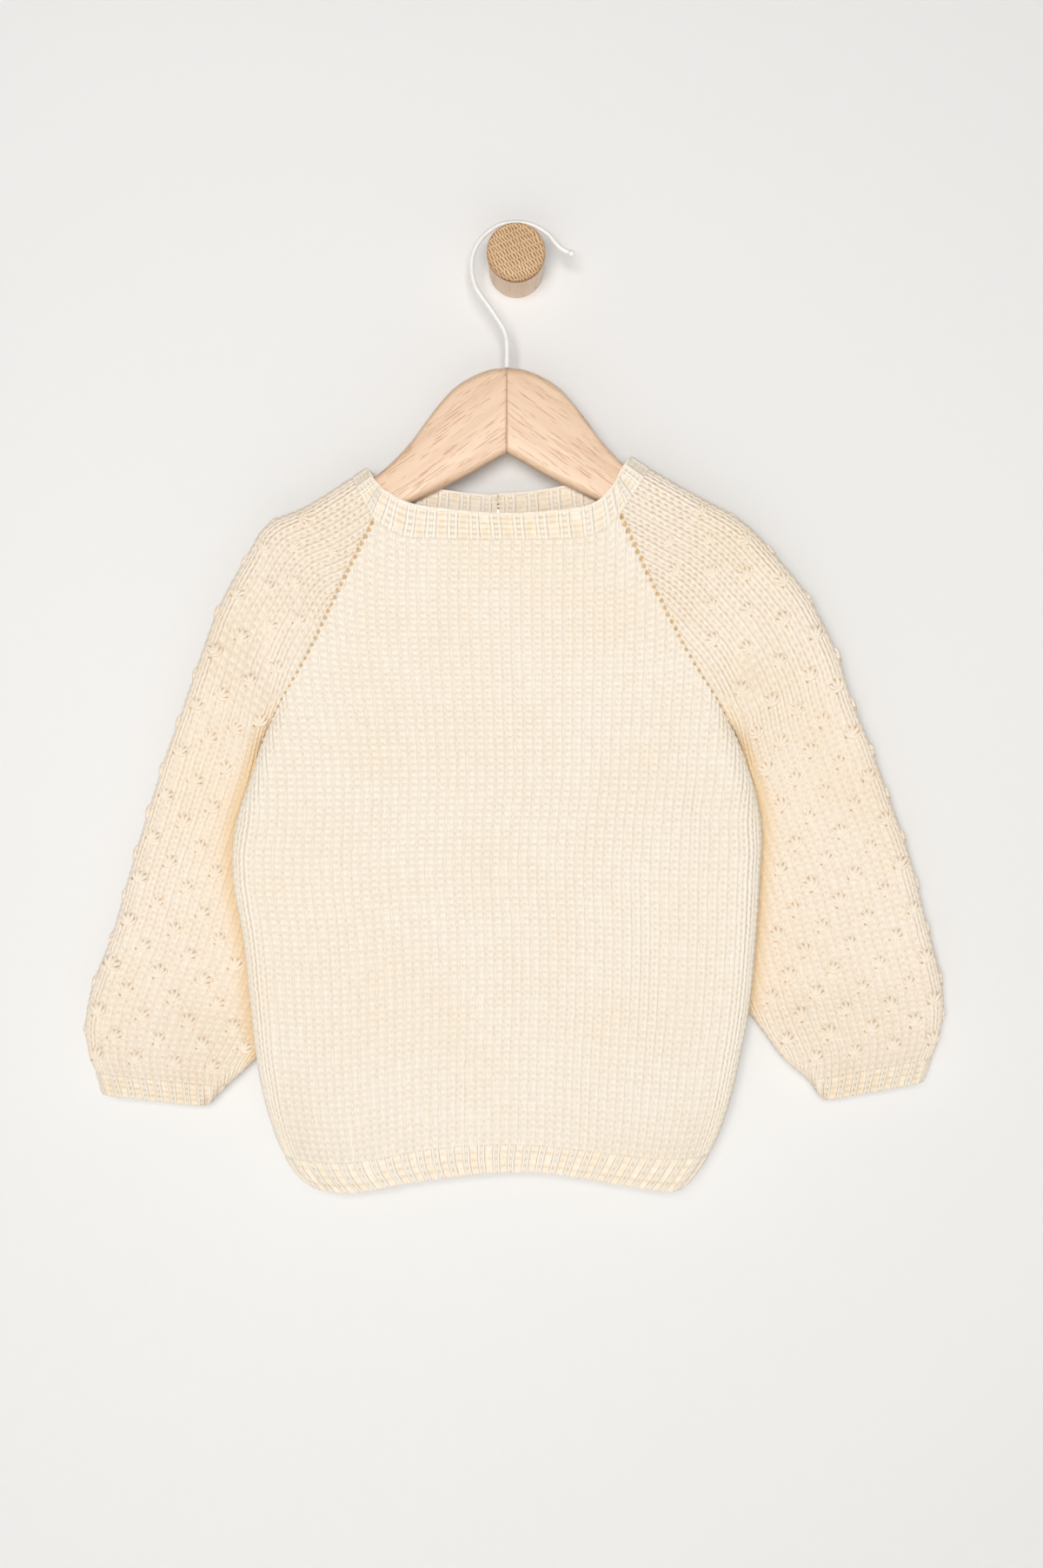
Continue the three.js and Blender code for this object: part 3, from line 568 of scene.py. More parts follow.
@dataclass
class KnitGrid:
    """One face of a knitted piece: columns of stitches that end in its edges.

    Args:
        piece: the piece that the grid is a face of.
        rows: the rows that the grid has.
        columns: the stitches at its columns.
        lean: rows that a column at the side of a stitch stands above its middle.
        clamp: columns nearer than this to an edge end in it.
    """

    piece: "KnitPiece"
    rows: Array
    columns: Array
    lean: float = 0.0
    clamp: float = CLAMP

    def add_to(self, data: MeshData, relief: float, offset: float = 0.0) -> list[tuple[int, ...]]:
        """Adds the grid's points and faces.

        Args:
            data: the mesh under construction.
            relief: how strongly the stitches stand out on it.
            offset: distance inwards from the surface.

        Returns:
            The faces that were added.
        """
        stitch, row = np.meshgrid(self.columns, self.rows)
        low, high = (edge[:, None] for edge in self.piece.limits(self.rows))
        inside = (stitch > low + self.clamp) & (stitch < high - self.clamp)
        away = np.minimum(row - self.rows[0], self.rows[-1] - row)
        side = 2 * np.abs(stitch - np.round(stitch))
        from_edge = np.minimum(stitch - low, high - stitch)
        leaning = row - self.lean * side * smooth(away / 1.5) * smooth(from_edge / 0.7)
        index = np.zeros(stitch.shape, int)
        strength = relief * smooth(away[inside] / 0.5)
        index[inside] = self._add(data, stitch[inside], leaning[inside], strength, offset)
        rim = offset or self._eyelets()
        left = self._add(data, low[:, 0], self.rows, 0.0, rim)
        right = self._add(data, high[:, 0], self.rows, 0.0, rim)
        right = np.where(self.rows >= self.piece.tube_from, left, right)
        index = np.where(stitch <= low + self.clamp, left[:, None], index)
        index = np.where(stitch >= high - self.clamp, right[:, None], index)
        rights = index.copy()
        open_rows = self.rows < self.piece.slit_to
        middle = int(np.argmin(np.abs(self.columns)))
        if open_rows.any():
            place = self.rows[open_rows]
            gap = SLIT_HALF * smooth((self.piece.slit_to - place) / 4)
            index[open_rows, middle] = self._add(data, -gap, place, 0.0, offset)
            rights[open_rows, middle] = self._add(data, gap, place, 0.0, offset)
        corners = np.stack([rights[:-1, :-1], index[:-1, 1:], index[1:, 1:], rights[1:, :-1]], -1)
        return self._faces(data, corners.reshape(-1, 4))

    def _add(
        self, data: MeshData, stitch: Array, row: Array, relief: Array | float,
        offset: Array | float,
    ) -> Array:
        """Adds points at places of the grid, and gives their indices."""
        points = self.piece.surface(stitch, row)
        if np.any(offset):
            step = 0.05
            across = self.piece.surface(stitch + step, row) - self.piece.surface(stitch - step, row)
            low, high = self.rows[0], self.rows[-1]
            below = self.piece.surface(stitch, np.minimum(row + step, high))
            along = below - self.piece.surface(stitch, np.maximum(row - step, low))
            normal = np.cross(along, across) * (-1 if self.piece.reversed_faces else 1)
            normal /= np.maximum(np.linalg.norm(normal, axis=-1, keepdims=True), 1e-9)
            if np.ndim(offset):
                normal = np.sign(normal[..., 1:2]) * np.array([0.0, 1.0, 0.0])
            points = points - normal * np.broadcast_to(offset, stitch.shape)[..., None]
        knit = np.stack([stitch, row + self.piece.row_from, np.full(stitch.shape, 0.0) + relief], -1)
        low, high = self.piece.limits(row)
        away = np.where(row < self.piece.eyelet_rows, np.minimum(stitch - low, high - stitch), SEAM_FAR)
        return data.add(points, knit, away) + np.arange(stitch.size)

    def _eyelets(self) -> Array:
        """How far the edges sink at their eyelets, one a row, less and less towards the armpit."""
        deep = mix(EYELET_TOP, EYELET_FOOT, np.clip(self.rows / YOKE_ROWS, 0, 1))
        wave = (0.5 - 0.5 * np.cos(2 * np.pi * self.rows)) ** 2
        return np.where(self.rows < self.piece.eyelet_rows, deep * wave, 0.0)

    def _faces(self, data: MeshData, corners: Array) -> list[tuple[int, ...]]:
        """Faces from corner indices, without repeated corners."""
        if not self.piece.reversed_faces:
            corners = corners[:, ::-1]
        whole = np.array([len(set(face)) for face in corners.tolist()])
        faces = [tuple(face) for face in corners[whole == 4].tolist()]
        faces += [tuple(dict.fromkeys(face)) for face in corners[whole == 3].tolist()]
        data.faces.extend(faces)
        return faces


@dataclass
class KnitPiece:
    """A knitted piece: a dense outer face, a plain inner wall and the rims that join them.

    Args:
        name: the piece's name.
        surface: points at (stitch, row).
        limits: first and last stitch of a row.
        rows: rows of knitting.
        reversed_faces: True where stitch, row and outside turn the other way.
        lean: rows that a stitch's sides stand above its middle.
        tube_from: row from which the two edges are the same line.
        slit_to: row down to which the middle column is open.
        fine: mesh steps across a stitch and along a row.
        coarse: stitches and rows between the steps of the inner wall.
        inner_relief: how strongly the stitches stand out on the inner wall.
        eyelet_rows: row down to which the edges have eyelets.
        row_from: number of the first row in the pattern; a rib has a rolled edge at row 0.
    """

    name: str
    surface: Surface
    limits: Limits
    rows: float
    reversed_faces: bool
    lean: float = LEAN
    tube_from: float = math.inf
    slit_to: float = -math.inf
    fine: tuple[int, int] = (STEPS, STEPS)
    coarse: tuple[float, float] = (1.0, 1.5)
    inner_relief: float = 0.0
    eyelet_rows: float = 0.0
    row_from: float = 0.0

    def build(self) -> Piece:
        """Builds the closed mesh and gives its object."""
        data = MeshData()
        outer_rows = np.linspace(0.0, self.rows, int(round(self.rows * self.fine[1])) + 1)
        inner_rows = np.linspace(0.0, self.rows, max(2, int(round(self.rows / self.coarse[1]))) + 1)
        low, high = self.limits(outer_rows)
        outer = KnitGrid(self, outer_rows, self._columns(low.min(), high.max(), 1 / self.fine[0]), self.lean)
        outer_faces = outer.add_to(data, 1.0)
        inner_columns = self._columns(low.min(), high.max(), self.coarse[0])
        inner = KnitGrid(self, inner_rows, inner_columns, clamp=self.coarse[0] * 0.3)
        before = len(data.faces)
        inner_faces = inner.add_to(data, self.inner_relief, CLOTH)
        flipped = [face[::-1] for face in inner_faces]
        data.faces[before:] = flipped
        points = np.concatenate(data.points)
        inner_loops = boundary_loops(flipped)
        for loop in boundary_loops(outer_faces):
            nearest = min(inner_loops, key=lambda other: self._apart(points, loop, other))
            data.faces.extend(bridge(points, loop, nearest))
        return data.piece(self.name)

    def _columns(self, low: float, high: float, step: float) -> Array:
        """Columns a step apart, one of them in the middle."""
        return np.arange(math.floor(low / step) - 1, math.ceil(high / step) + 2) * step

    def _apart(self, points: Array, loop: list[int], other: list[int]) -> float:
        """Distance between the middles of two loops."""
        return float(np.linalg.norm(points[loop].mean(0) - points[other].mean(0)))


# ---------- where the stitches lie ----------


@dataclass(frozen=True)
class BodyKnit:
    """Stitches of the front or the back: straight up and down, as many as the width takes.

    Args:
        side: front or back.
    """

    side: Side

    def outline(self, row: Array) -> Array:
        """Row of the body's outline at a row of knitting."""
        lower = mix(ARMPIT_ROW, 1, (row - YOKE_ROWS) / BODY_ROWS)
        return np.where(row < YOKE_ROWS, row / YOKE_ROWS * ARMPIT_ROW, lower)

    def measures(self, row: Array) -> tuple[Array, Array, Array]:
        """Half the length across a row, its stitches from the middle and a middle stitch's width."""
        oval, _, middle = BODY_FORM.section(self.side, self.outline(row))
        half, wide = oval.length / 2, BODY_GAUGE.read("wide", middle)
        return half, mix(BODY_EDGE, half / wide, smooth((middle - EDGE_Z) / EDGE_TURN)), wide

    def limits(self, row: Array) -> tuple[Array, Array]:
        """First and last stitch of a row."""
        _, edge, _ = self.measures(row)
        return -edge, edge

    def surface(self, stitch: Array, row: Array) -> Array:
        """Points on the outside at places of the knitting."""
        half, edge, wide = self.measures(row)
        target = np.clip(stitch / edge, -1, 1)
        gather = 1 - half / (wide * edge)
        share = target
        for _ in range(4):
            value = (1 - gather) * share + gather * share**3 - target
            share = share - value / (1 - gather + 3 * gather * share**2)
        return BODY_FORM.place(self.side, half * (1 + share), self.outline(row))


@dataclass(frozen=True)
class HemKnit:
    """Ribs at the hem, as wide as the ribs of the front or back allow.

    Args:
        side: front or back.
        rows: rows of the rib.
    """

    side: Side
    rows: float = RIB_ROWS

    def limits(self, row: Array) -> tuple[Array, Array]:
        """First and last stitch of a row."""
        edge = np.full_like(row, BODY_EDGE)
        return -edge, edge

    def surface(self, stitch: Array, row: Array) -> Array:
        """Points on the outside at places of the rib."""
        outline = 1 + mix(HEM_SEAM, 1, row / self.rows)
        oval, _, _ = BODY_FORM.section(self.side, outline)
        return BODY_FORM.place(self.side, oval.length / 2 * (1 + stitch / BODY_EDGE), outline)


@dataclass(frozen=True)
class SleeveKnit:
    """Stitches of a sleeve, counted from its outer fold: below 0 in front, above 0 behind.

    Args:
        form: the sleeve's outside.
        first: distance along the sleeve where the knitting starts.
        last: distance where it ends.
        yoke: rows before the armpit.
        arm: rows after it.
    """

    form: SleeveForm
    first: float
    last: float
    yoke: float = YOKE_ROWS
    arm: float = ARM_ROWS

    def at(self, row: Array) -> Array:
        """Distance along the sleeve at a row."""
        if not self.yoke:
            return mix(self.first, self.last, row / self.arm)
        upper = mix(self.first, self.form.armpit_at, row / self.yoke)
        lower = mix(self.form.armpit_at, self.last, (row - self.yoke) / self.arm)
        return np.where(row < self.yoke, upper, lower)

    def measures(self, row: Array) -> tuple[Array, Array, Array]:
        """Lengths across the front and the back of a row, and the width of a stitch."""
        at = self.at(row)
        front, _, _ = self.form.section(Side.FRONT, at)
        back, _, _ = self.form.section(Side.BACK, at)
        return front.length, back.length, self.form.table.read("wide", at)

    def limits(self, row: Array) -> tuple[Array, Array]:
        """First and last stitch of a row."""
        front, back, wide = self.measures(row)
        return -front / wide, back / wide

    def surface(self, stitch: Array, row: Array) -> Array:
        """Points on the outside at places of the knitting."""
        at = self.at(row)
        front, back, wide = self.measures(row)
        ahead = self.form.place(Side.FRONT, front + np.minimum(stitch, 0) * wide, at)
        behind = self.form.place(Side.BACK, back - np.maximum(stitch, 0) * wide, at)
        return np.where((stitch <= 0)[..., None], ahead, behind)


class NeckKnit:
    """Ribs of the neckband, counted round the neck from the middle of the front."""

    def __init__(self, rows: float = 5.0, pairs: int = 31) -> None:
        """Measures the neckline.

        Args:
            rows: rows of the rib.
            pairs: ribs round the neck.
        """
        self.rows, self.edge = rows, float(pairs)
        zero = np.zeros(1)
        self.front, _, _ = BODY_FORM.section(Side.FRONT, zero)
        self.back, _, _ = BODY_FORM.section(Side.BACK, zero)
        self.tops = {
            (form, side): form.section(side, zero)[0] for form in (LEFT_FORM, RIGHT_FORM) for side in Side
        }
        half_back = self.back.length[0] / 2
        tops = [self.tops[key].length[0] for key in (
            (LEFT_FORM, Side.BACK), (LEFT_FORM, Side.FRONT), (RIGHT_FORM, Side.FRONT), (RIGHT_FORM, Side.BACK)
        )]
        lengths = [half_back, *tops[:2], self.front.length[0], *tops[2:], half_back]
        self.ends = np.cumsum([0, *lengths])

    def limits(self, row: Array) -> tuple[Array, Array]:
        """First and last stitch of a row."""
        edge = np.full_like(row, self.edge)
        return -edge, edge

    def surface(self, stitch: Array, row: Array) -> Array:
        """Points on the outside of the band; row 0 is its top edge."""
        middle = self.ends[3] + self.front.length[0] / 2
        around = np.where(
            stitch < 0,
            mix(middle, self.ends[0] + SLIT_GAP, -stitch / self.edge),
            mix(middle, self.ends[-1] - SLIT_GAP, stitch / self.edge),
        )
        foot, key = self.foot(around)
        rise = mix(1, NECK_SEAM, row / self.rows)
        move = np.stack([NECKBAND.read("dx", key), 0 * key, NECKBAND.read("dz", key)], -1)
        return foot + move * rise[..., None]

    def foot(self, around: Array) -> tuple[Array, Array]:
        """Foot of the band at distances round the neck, and the key of its table there."""
        zero = np.zeros_like(around)
        before = [around - end for end in self.ends[:-1]]
        after = [end - around for end in self.ends[1:]]
        places, keys = [], []
        for along, side in ((after[0], Side.BACK), (before[3], Side.FRONT),
                            (after[6] + self.back.length[0] / 2,
                                                                            Side.BACK)):
            oval = self.back if side is Side.BACK else self.front
            along = np.clip(along, 0, oval.length)
            run, _ = oval.at(along)
            places.append(BODY_FORM.place(side, along, zero))
            keys.append(step_share(run, oval.width[0], False) if side is Side.BACK else run / oval.width)
        keys[0] = 1 - 2 * keys[0]
        keys[1] = 2 + keys[1]
        keys[2] = 4 + 2 * (1 - keys[2])
        parts = [(places[0], keys[0])]
        for form, side, along, base, turn in (
            (LEFT_FORM, Side.BACK, before[1], 1, 0.5), (LEFT_FORM, Side.FRONT, after[2], 2, -0.5),
            (RIGHT_FORM, Side.FRONT, before[4], 3, 0.5), (RIGHT_FORM, Side.BACK, after[5], 4, -0.5),
        ):
            oval = self.tops[(form, side)]
            along = np.clip(along, 0, oval.length)
            run, _ = oval.at(along)
            key = base + turn * step_share(run, oval.width[0], True)
            parts.append((form.place(side, along, zero), key))
        parts.insert(3, (places[1], keys[1]))
        parts.append((places[2], keys[2]))
        which = np.clip(np.searchsorted(self.ends, around, side="right") - 1, 0, len(parts) - 1)
        foot = np.select([(which == i)[..., None] for i in range(len(parts))], [part[0] for part in parts])
        key = np.select([which == i for i in range(len(parts))], [part[1] for part in parts])
        return foot, key


def step_share(run: Array, width: float, folded: bool) -> Array:
    """Share of the part's steps across a section that come before a distance from its level edge.

    Args:
        run: distance from the edge.
        width: width of the section.
        folded: True where the other edge is a fold and not a level one.

    Returns:
        The shares, 0 to 1.
    """
    share = np.linspace(0, 1, 401)
    near = np.clip(share / ARC_SHARE, 0, 1)
    far = np.clip((1 - share) / ARC_SHARE, 0, 1)
    strip = SLEEVE_ROUND if folded else SEAM_STRIP
    last = width - strip * (1 - np.cos(far * np.pi / 2) if folded else far)
    middle = mix(SEAM_STRIP, width - strip, (share - ARC_SHARE) / (1 - 2 * ARC_SHARE))
    runs = np.where(share <= ARC_SHARE, SEAM_STRIP * near, np.where(share >= 1 - ARC_SHARE, last, middle))
    return np.interp(run, runs, share)


# ---------- node trees ----------


@dataclass
class Field:
    """A number over the surface in a shader or geometry tree, with plain arithmetic."""

    tree: Tree
    socket: Socket

    def maths(self, operation: str, *others: "Field | float") -> "Field":
        """Result of a Math node on this field and others."""
        node = self.tree.nodes.new("ShaderNodeMath")
        node.operation = operation
        for slot, value in zip(node.inputs, (self, *others)):
            feed(self.tree, slot, value)
        return Field(self.tree, node.outputs[0])

    __add__ = partialmethod(maths, "ADD")
    __sub__ = partialmethod(maths, "SUBTRACT")
    __mul__ = partialmethod(maths, "MULTIPLY")
    __truediv__ = partialmethod(maths, "DIVIDE")

    def rest(self) -> "Field":
        """What is left of 1."""
        return (self * -1) + 1

    def soft(self, start: float, end: float) -> "Field":
        """Soft step from 0 at `start` to 1 at `end`."""
        node = self.tree.nodes.new("ShaderNodeMapRange")
        node.interpolation_type = "SMOOTHSTEP"
        feed(self.tree, node.inputs["Value"], self)
        node.inputs["From Min"].default_value = start
        node.inputs["From Max"].default_value = end
        return Field(self.tree, node.outputs[0])


def feed(tree: Tree, slot: Socket, value: object) -> None:
    """Wires a field or socket into an input, or sets a plain value on it."""
    if isinstance(value, (Field, Socket)):
        tree.links.new(value.socket if isinstance(value, Field) else value, slot)
    else:
        slot.default_value = value


def separate(tree: Tree, vector: Socket) -> list[Field]:
    """The three parts of a vector."""
    node = tree.nodes.new("ShaderNodeSeparateXYZ")
    tree.links.new(vector, node.inputs[0])
    return [Field(tree, socket) for socket in node.outputs]


def noise(
    tree: Tree, vector: Socket, scale: "Field | float", detail: float = 2.0,
    seed: "Field | float" = 0.0,
) -> Field:
    """Soft noise, 0 to 1, on a vector."""
    node = tree.nodes.new("ShaderNodeTexNoise")
    node.noise_dimensions = "4D"
    tree.links.new(vector, node.inputs["Vector"])
    feed(tree, node.inputs["Scale"], scale)
    feed(tree, node.inputs["W"], seed)
    node.inputs["Detail"].default_value = detail
    return Field(tree, node.outputs[0])


@dataclass
class Stitch:
    """Place inside a stitch of stocking stitch.

    Args:
        stitch: stitches across.
        row: rows along.
        lean: rows that a leg rises towards its side.
    """

    stitch: Field
    row: Field
    lean: Field | float

    def __post_init__(self) -> None:
        """Works out the distance from the middle of the stitch and the place along its leg."""
        self.across = self.stitch - self.stitch.maths("ROUND")
        self.side = self.across.maths("ABSOLUTE") * 2
        self.phase = (self.row + self.side * self.lean).maths("FRACT")

    def height(self) -> Field:
        """Height of the legs: 0 in the gaps, 1 on top."""
        leg = (self.side * (2 * math.pi)).maths("COSINE") * -0.5 + 0.5
        along = (self.phase * math.pi).maths("SINE").maths("POWER", 0.8) * 0.5 + 0.5
        groove = self.side * 0.25 + 0.75
        return along * (leg.rest() * groove).rest()

    def gaps(self) -> Field:
        """Mask of painted shade in the small gaps: 1 beside the foot of each stitch and between its legs."""
        middle_row = self.row - self.row.maths("ROUND")
        beside = self.row + self.lean
        side_row = beside - beside.maths("ROUND")
        gutter = self.across.maths("ABSOLUTE") - 0.5
        spots = []
        for run, rise, width, tall in (
            (self.across, middle_row, 0.085, 0.35), (gutter, side_row, 0.095, 0.37)
        ):
            far = ((run / width).maths("POWER", 2) + (rise / tall).maths("POWER", 2)).maths("SQRT")
            spots.append(far.soft(1.25, 0.35))
        return spots[0].maths("MAXIMUM", spots[1])


@dataclass
class Rib:
    """Place inside a single rib: a knit column on every even stitch and a purl one between.

    The two legs of a knit column stand apart, with short bars between them and wide ones in the
    purl columns.

    Args:
        stitch: stitches across.
        row: rows along.
    """

    stitch: Field
    row: Field

    def __post_init__(self) -> None:
        """Works out how far the place lies from a knit column and from its legs."""
        half = self.stitch * 0.5
        self.across = (half - half.maths("ROUND")).maths("ABSOLUTE") * 2
        self.leg = ((self.across - 0.31).maths("ABSOLUTE")).soft(0.27, 0.1)
        self.phase = self.row.maths("FRACT")
        self.edge = self.row.soft(0.7, 0.4)

    def height(self) -> Field:
        """Height of the rib: 1 on the legs, low in the purl columns, with short bars there."""
        bars = (self.phase * math.pi).maths("SINE").maths("POWER", 0.8)
        level = self.across.soft(0.7, 0.4) * 0.35 + 0.2
        slant = ((self.row + self.across * 0.8).maths("FRACT") * math.pi).maths("SINE").maths("POWER", 0.5)
        legs = self.leg * (slant * 0.25 + 0.75)
        return legs.maths("MAXIMUM", bars * level).maths("MAXIMUM", self.edge * 0.7)

    def gaps(self) -> Field:
        """Mask of painted shade in the gaps: in the purl columns, between their bars and between a knit
        column's legs.
        """
        between = (self.phase - 0.5).maths("ABSOLUTE").soft(0.2, 0.45)
        valley = self.across.soft(0.55, 0.8) * (between * 0.6 + 0.4)
        middle = self.across.soft(0.18, 0.06) * (between * 0.7 + 0.15)
        return valley.maths("MAXIMUM", middle) * self.edge.rest()


class Knit(Enum):
    """The two ways in which the pieces are knitted."""

    STOCKING = "stocking"
    RIB = "rib"

    def pattern(self, stitch: Field, row: Field, lean: Field | float) -> Stitch | Rib:
        """The pattern at a place of the knitting."""
        return Stitch(stitch, row, lean) if self is Knit.STOCKING else Rib(stitch, row)


def set_inputs(modifier: bpy.types.Modifier, values: dict[str, object]) -> None:
    """Sets a Geometry Nodes modifier's inputs by the identifiers of their sockets."""
    for item in modifier.node_group.interface.items_tree:
        if item.item_type == "SOCKET" and item.in_out == "INPUT" and item.name in values:
            modifier[item.identifier] = values[item.name]


def bake(piece: Piece) -> Piece:
    """Turns a piece with its modifiers into one plain mesh."""
    graph = bpy.context.evaluated_depsgraph_get()
    mesh = bpy.data.meshes.new_from_object(
        piece.evaluated_get(graph), preserve_all_data_layers=True, depsgraph=graph
    )
    piece.modifiers.clear()
    old = piece.data
    piece.data = mesh
    bpy.data.meshes.remove(old)
    mesh.name = piece.name
    return piece


@dataclass(frozen=True)
class StitchRelief:
    """Geometry Nodes that raise the stitches of a knitted piece out of its surface.

    Args:
        knit: stocking stitch or rib.
        depth: height of the stitches, in millimetres.
        sink: how far their gaps lie in, in millimetres.
        lean: rows that a leg rises towards its side.
        unevenness: how much the stitches differ in height.
        seed: seed of those differences.
    """

    knit: Knit
    depth: float = 0.85
    sink: float = 0.45
    lean: float = LEAN
    unevenness: float = 0.3
    seed: int = 4

    def tree(self) -> Tree:
        """The node tree, built once for each way of knitting."""
        name = f"{self.knit.value}_relief"
        if name in bpy.data.node_groups:
            return bpy.data.node_groups[name]
        tree = bpy.data.node_groups.new(name, "GeometryNodeTree")
        sockets = tree.interface
        sockets.new_socket("Geometry", in_out="INPUT", socket_type="NodeSocketGeometry")
        for label in ("Depth", "Sink", "Lean", "Unevenness"):
            sockets.new_socket(label, in_out="INPUT", socket_type="NodeSocketFloat")
        sockets.new_socket("Seed", in_out="INPUT", socket_type="NodeSocketInt")
        sockets.new_socket("Material", in_out="INPUT", socket_type="NodeSocketMaterial")
        sockets.new_socket("Geometry", in_out="OUTPUT", socket_type="NodeSocketGeometry")
        nodes, links = tree.nodes, tree.links
        entry = nodes.new("NodeGroupInput")
        given = {socket.name: socket for socket in entry.outputs}
        layer = nodes.new("GeometryNodeInputNamedAttribute")
        layer.data_type = "FLOAT_VECTOR"
        layer.inputs["Name"].default_value = "knit"
        stitch, row, strength = separate(tree, layer.outputs[0])
        pattern = self.knit.pattern(stitch, row, Field(tree, given["Lean"]))
        wander = noise(tree, layer.outputs[0], 0.9, 1.0, Field(tree, given["Seed"])) - 0.5
        scale = wander * Field(tree, given["Unevenness"]) * 2 + 1
        raised = pattern.height() * Field(tree, given["Depth"]) * scale - Field(tree, given["Sink"])
        normal = nodes.new("GeometryNodeInputNormal")
        move = nodes.new("ShaderNodeVectorMath")
        move.operation = "SCALE"
        links.new(normal.outputs[0], move.inputs[0])
        feed(tree, move.inputs["Scale"], raised * strength * MM)
        place = nodes.new("GeometryNodeSetPosition")
        links.new(given["Geometry"], place.inputs["Geometry"])
        links.new(move.outputs[0], place.inputs["Offset"])
        finish_tree(tree, place.outputs[0], given["Material"])
        return tree

    def raise_on(self, piece: Piece, material: bpy.types.Material) -> Piece:
        """Raises the stitches on a piece and dresses it."""
        modifier = piece.modifiers.new("relief", "NODES")
        modifier.node_group = self.tree()
        set_inputs(modifier, {
            "Depth": self.depth, "Sink": self.sink, "Lean": self.lean, "Unevenness": self.unevenness,
            "Seed": self.seed, "Material": material,
        })
        return bake(piece)


def finish_tree(
    tree: Tree, geometry: Socket, material: Socket
) -> None:
    """Ends a geometry tree in Realize Instances and Set Material."""
    realize = tree.nodes.new("GeometryNodeRealizeInstances")
    dress = tree.nodes.new("GeometryNodeSetMaterial")
    leave = tree.nodes.new("NodeGroupOutput")
    tree.links.new(geometry, realize.inputs[0])
    tree.links.new(realize.outputs[0], dress.inputs["Geometry"])
    tree.links.new(material, dress.inputs["Material"])
    tree.links.new(dress.outputs[0], leave.inputs[0])


# ---------- finishes ----------


def linear(shade: str) -> tuple[float, float, float, float]:
    """Linear colour of a hex shade."""
    parts = [int(shade[i:i + 2], 16) / 255 for i in (1, 3, 5)]
    return (*(part / 12.92 if part <= 0.04045 else ((part + 0.055) / 1.055) ** 2.4 for part in parts), 1.0)


def new_material(
    name: str,
) -> tuple[bpy.types.Material, Tree, bpy.types.Node, Socket]:
    """An empty material with its tree, its Principled shader and the place on the object."""
    material = bpy.data.materials.new(name)
    material.use_nodes = True
    tree = material.node_tree
    place = tree.nodes.new("ShaderNodeTexCoord").outputs["Object"]
    return material, tree, tree.nodes["Principled BSDF"], place


def plain(shader: bpy.types.Node, values: dict[str, object]) -> None:
    """Sets plain values on a shader's sockets."""
    for label, value in values.items():
        shader.inputs[label].default_value = value


def layer_of(tree: Tree, name: str) -> bpy.types.Node:
    """Reads an attribute of the mesh."""
    layer = tree.nodes.new("ShaderNodeAttribute")
    layer.attribute_name = name
    return layer


def blend(tree: Tree, share: Field, first: object, second: object) -> Socket:
    """Mixes two colours, each a shade or a socket."""
    node = tree.nodes.new("ShaderNodeMix")
    node.data_type = "RGBA"
    feed(tree, node.inputs["Factor"], share)
    for slot, colour in ((node.inputs[6], first), (node.inputs[7], second)):
        feed(tree, slot, linear(colour) if isinstance(colour, str) else colour)
    return node.outputs[2]


def bump(tree: Tree, height: Field, distance: float) -> Socket:
    """Normal of a height, `distance` in millimetres."""
    node = tree.nodes.new("ShaderNodeBump")
    node.inputs["Strength"].default_value = 1.0
    node.inputs["Distance"].default_value = distance * MM
    feed(tree, node.inputs["Height"], height)
    return node.outputs[0]


def group_node(tree: Tree, group: Tree, **values: object) -> bpy.types.Node:
    """Places a group in a material; names of inputs are given with _ for spaces."""
    node = tree.nodes.new("ShaderNodeGroup")
    node.node_tree = group
    for label, value in values.items():
        feed(tree, node.inputs[label.replace("_", " ").capitalize()], value)
    return node


def shader_group(
    name: str, inputs: dict[str, float | str], outputs: dict[str, str]
) -> tuple[Tree, dict[str, Socket], bpy.types.Node]:
    """A new shader node group.

    Args:
        name: the group's name.
        inputs: labels with their plain values, or "Vector" for a vector.
        outputs: labels with their socket types.

    Returns:
        The group, its inputs by label and its output node.
    """
    group = bpy.data.node_groups.new(name, "ShaderNodeTree")
    for label, value in inputs.items():
        kind = "NodeSocketVector" if value == "Vector" else "NodeSocketFloat"
        socket = group.interface.new_socket(label, in_out="INPUT", socket_type=kind)
        if kind == "NodeSocketFloat":
            socket.default_value = value
    for label, kind in outputs.items():
        group.interface.new_socket(label, in_out="OUTPUT", socket_type=kind)
    entry = group.nodes.new("NodeGroupInput")
    return group, {socket.name: socket for socket in entry.outputs}, group.nodes.new("NodeGroupOutput")


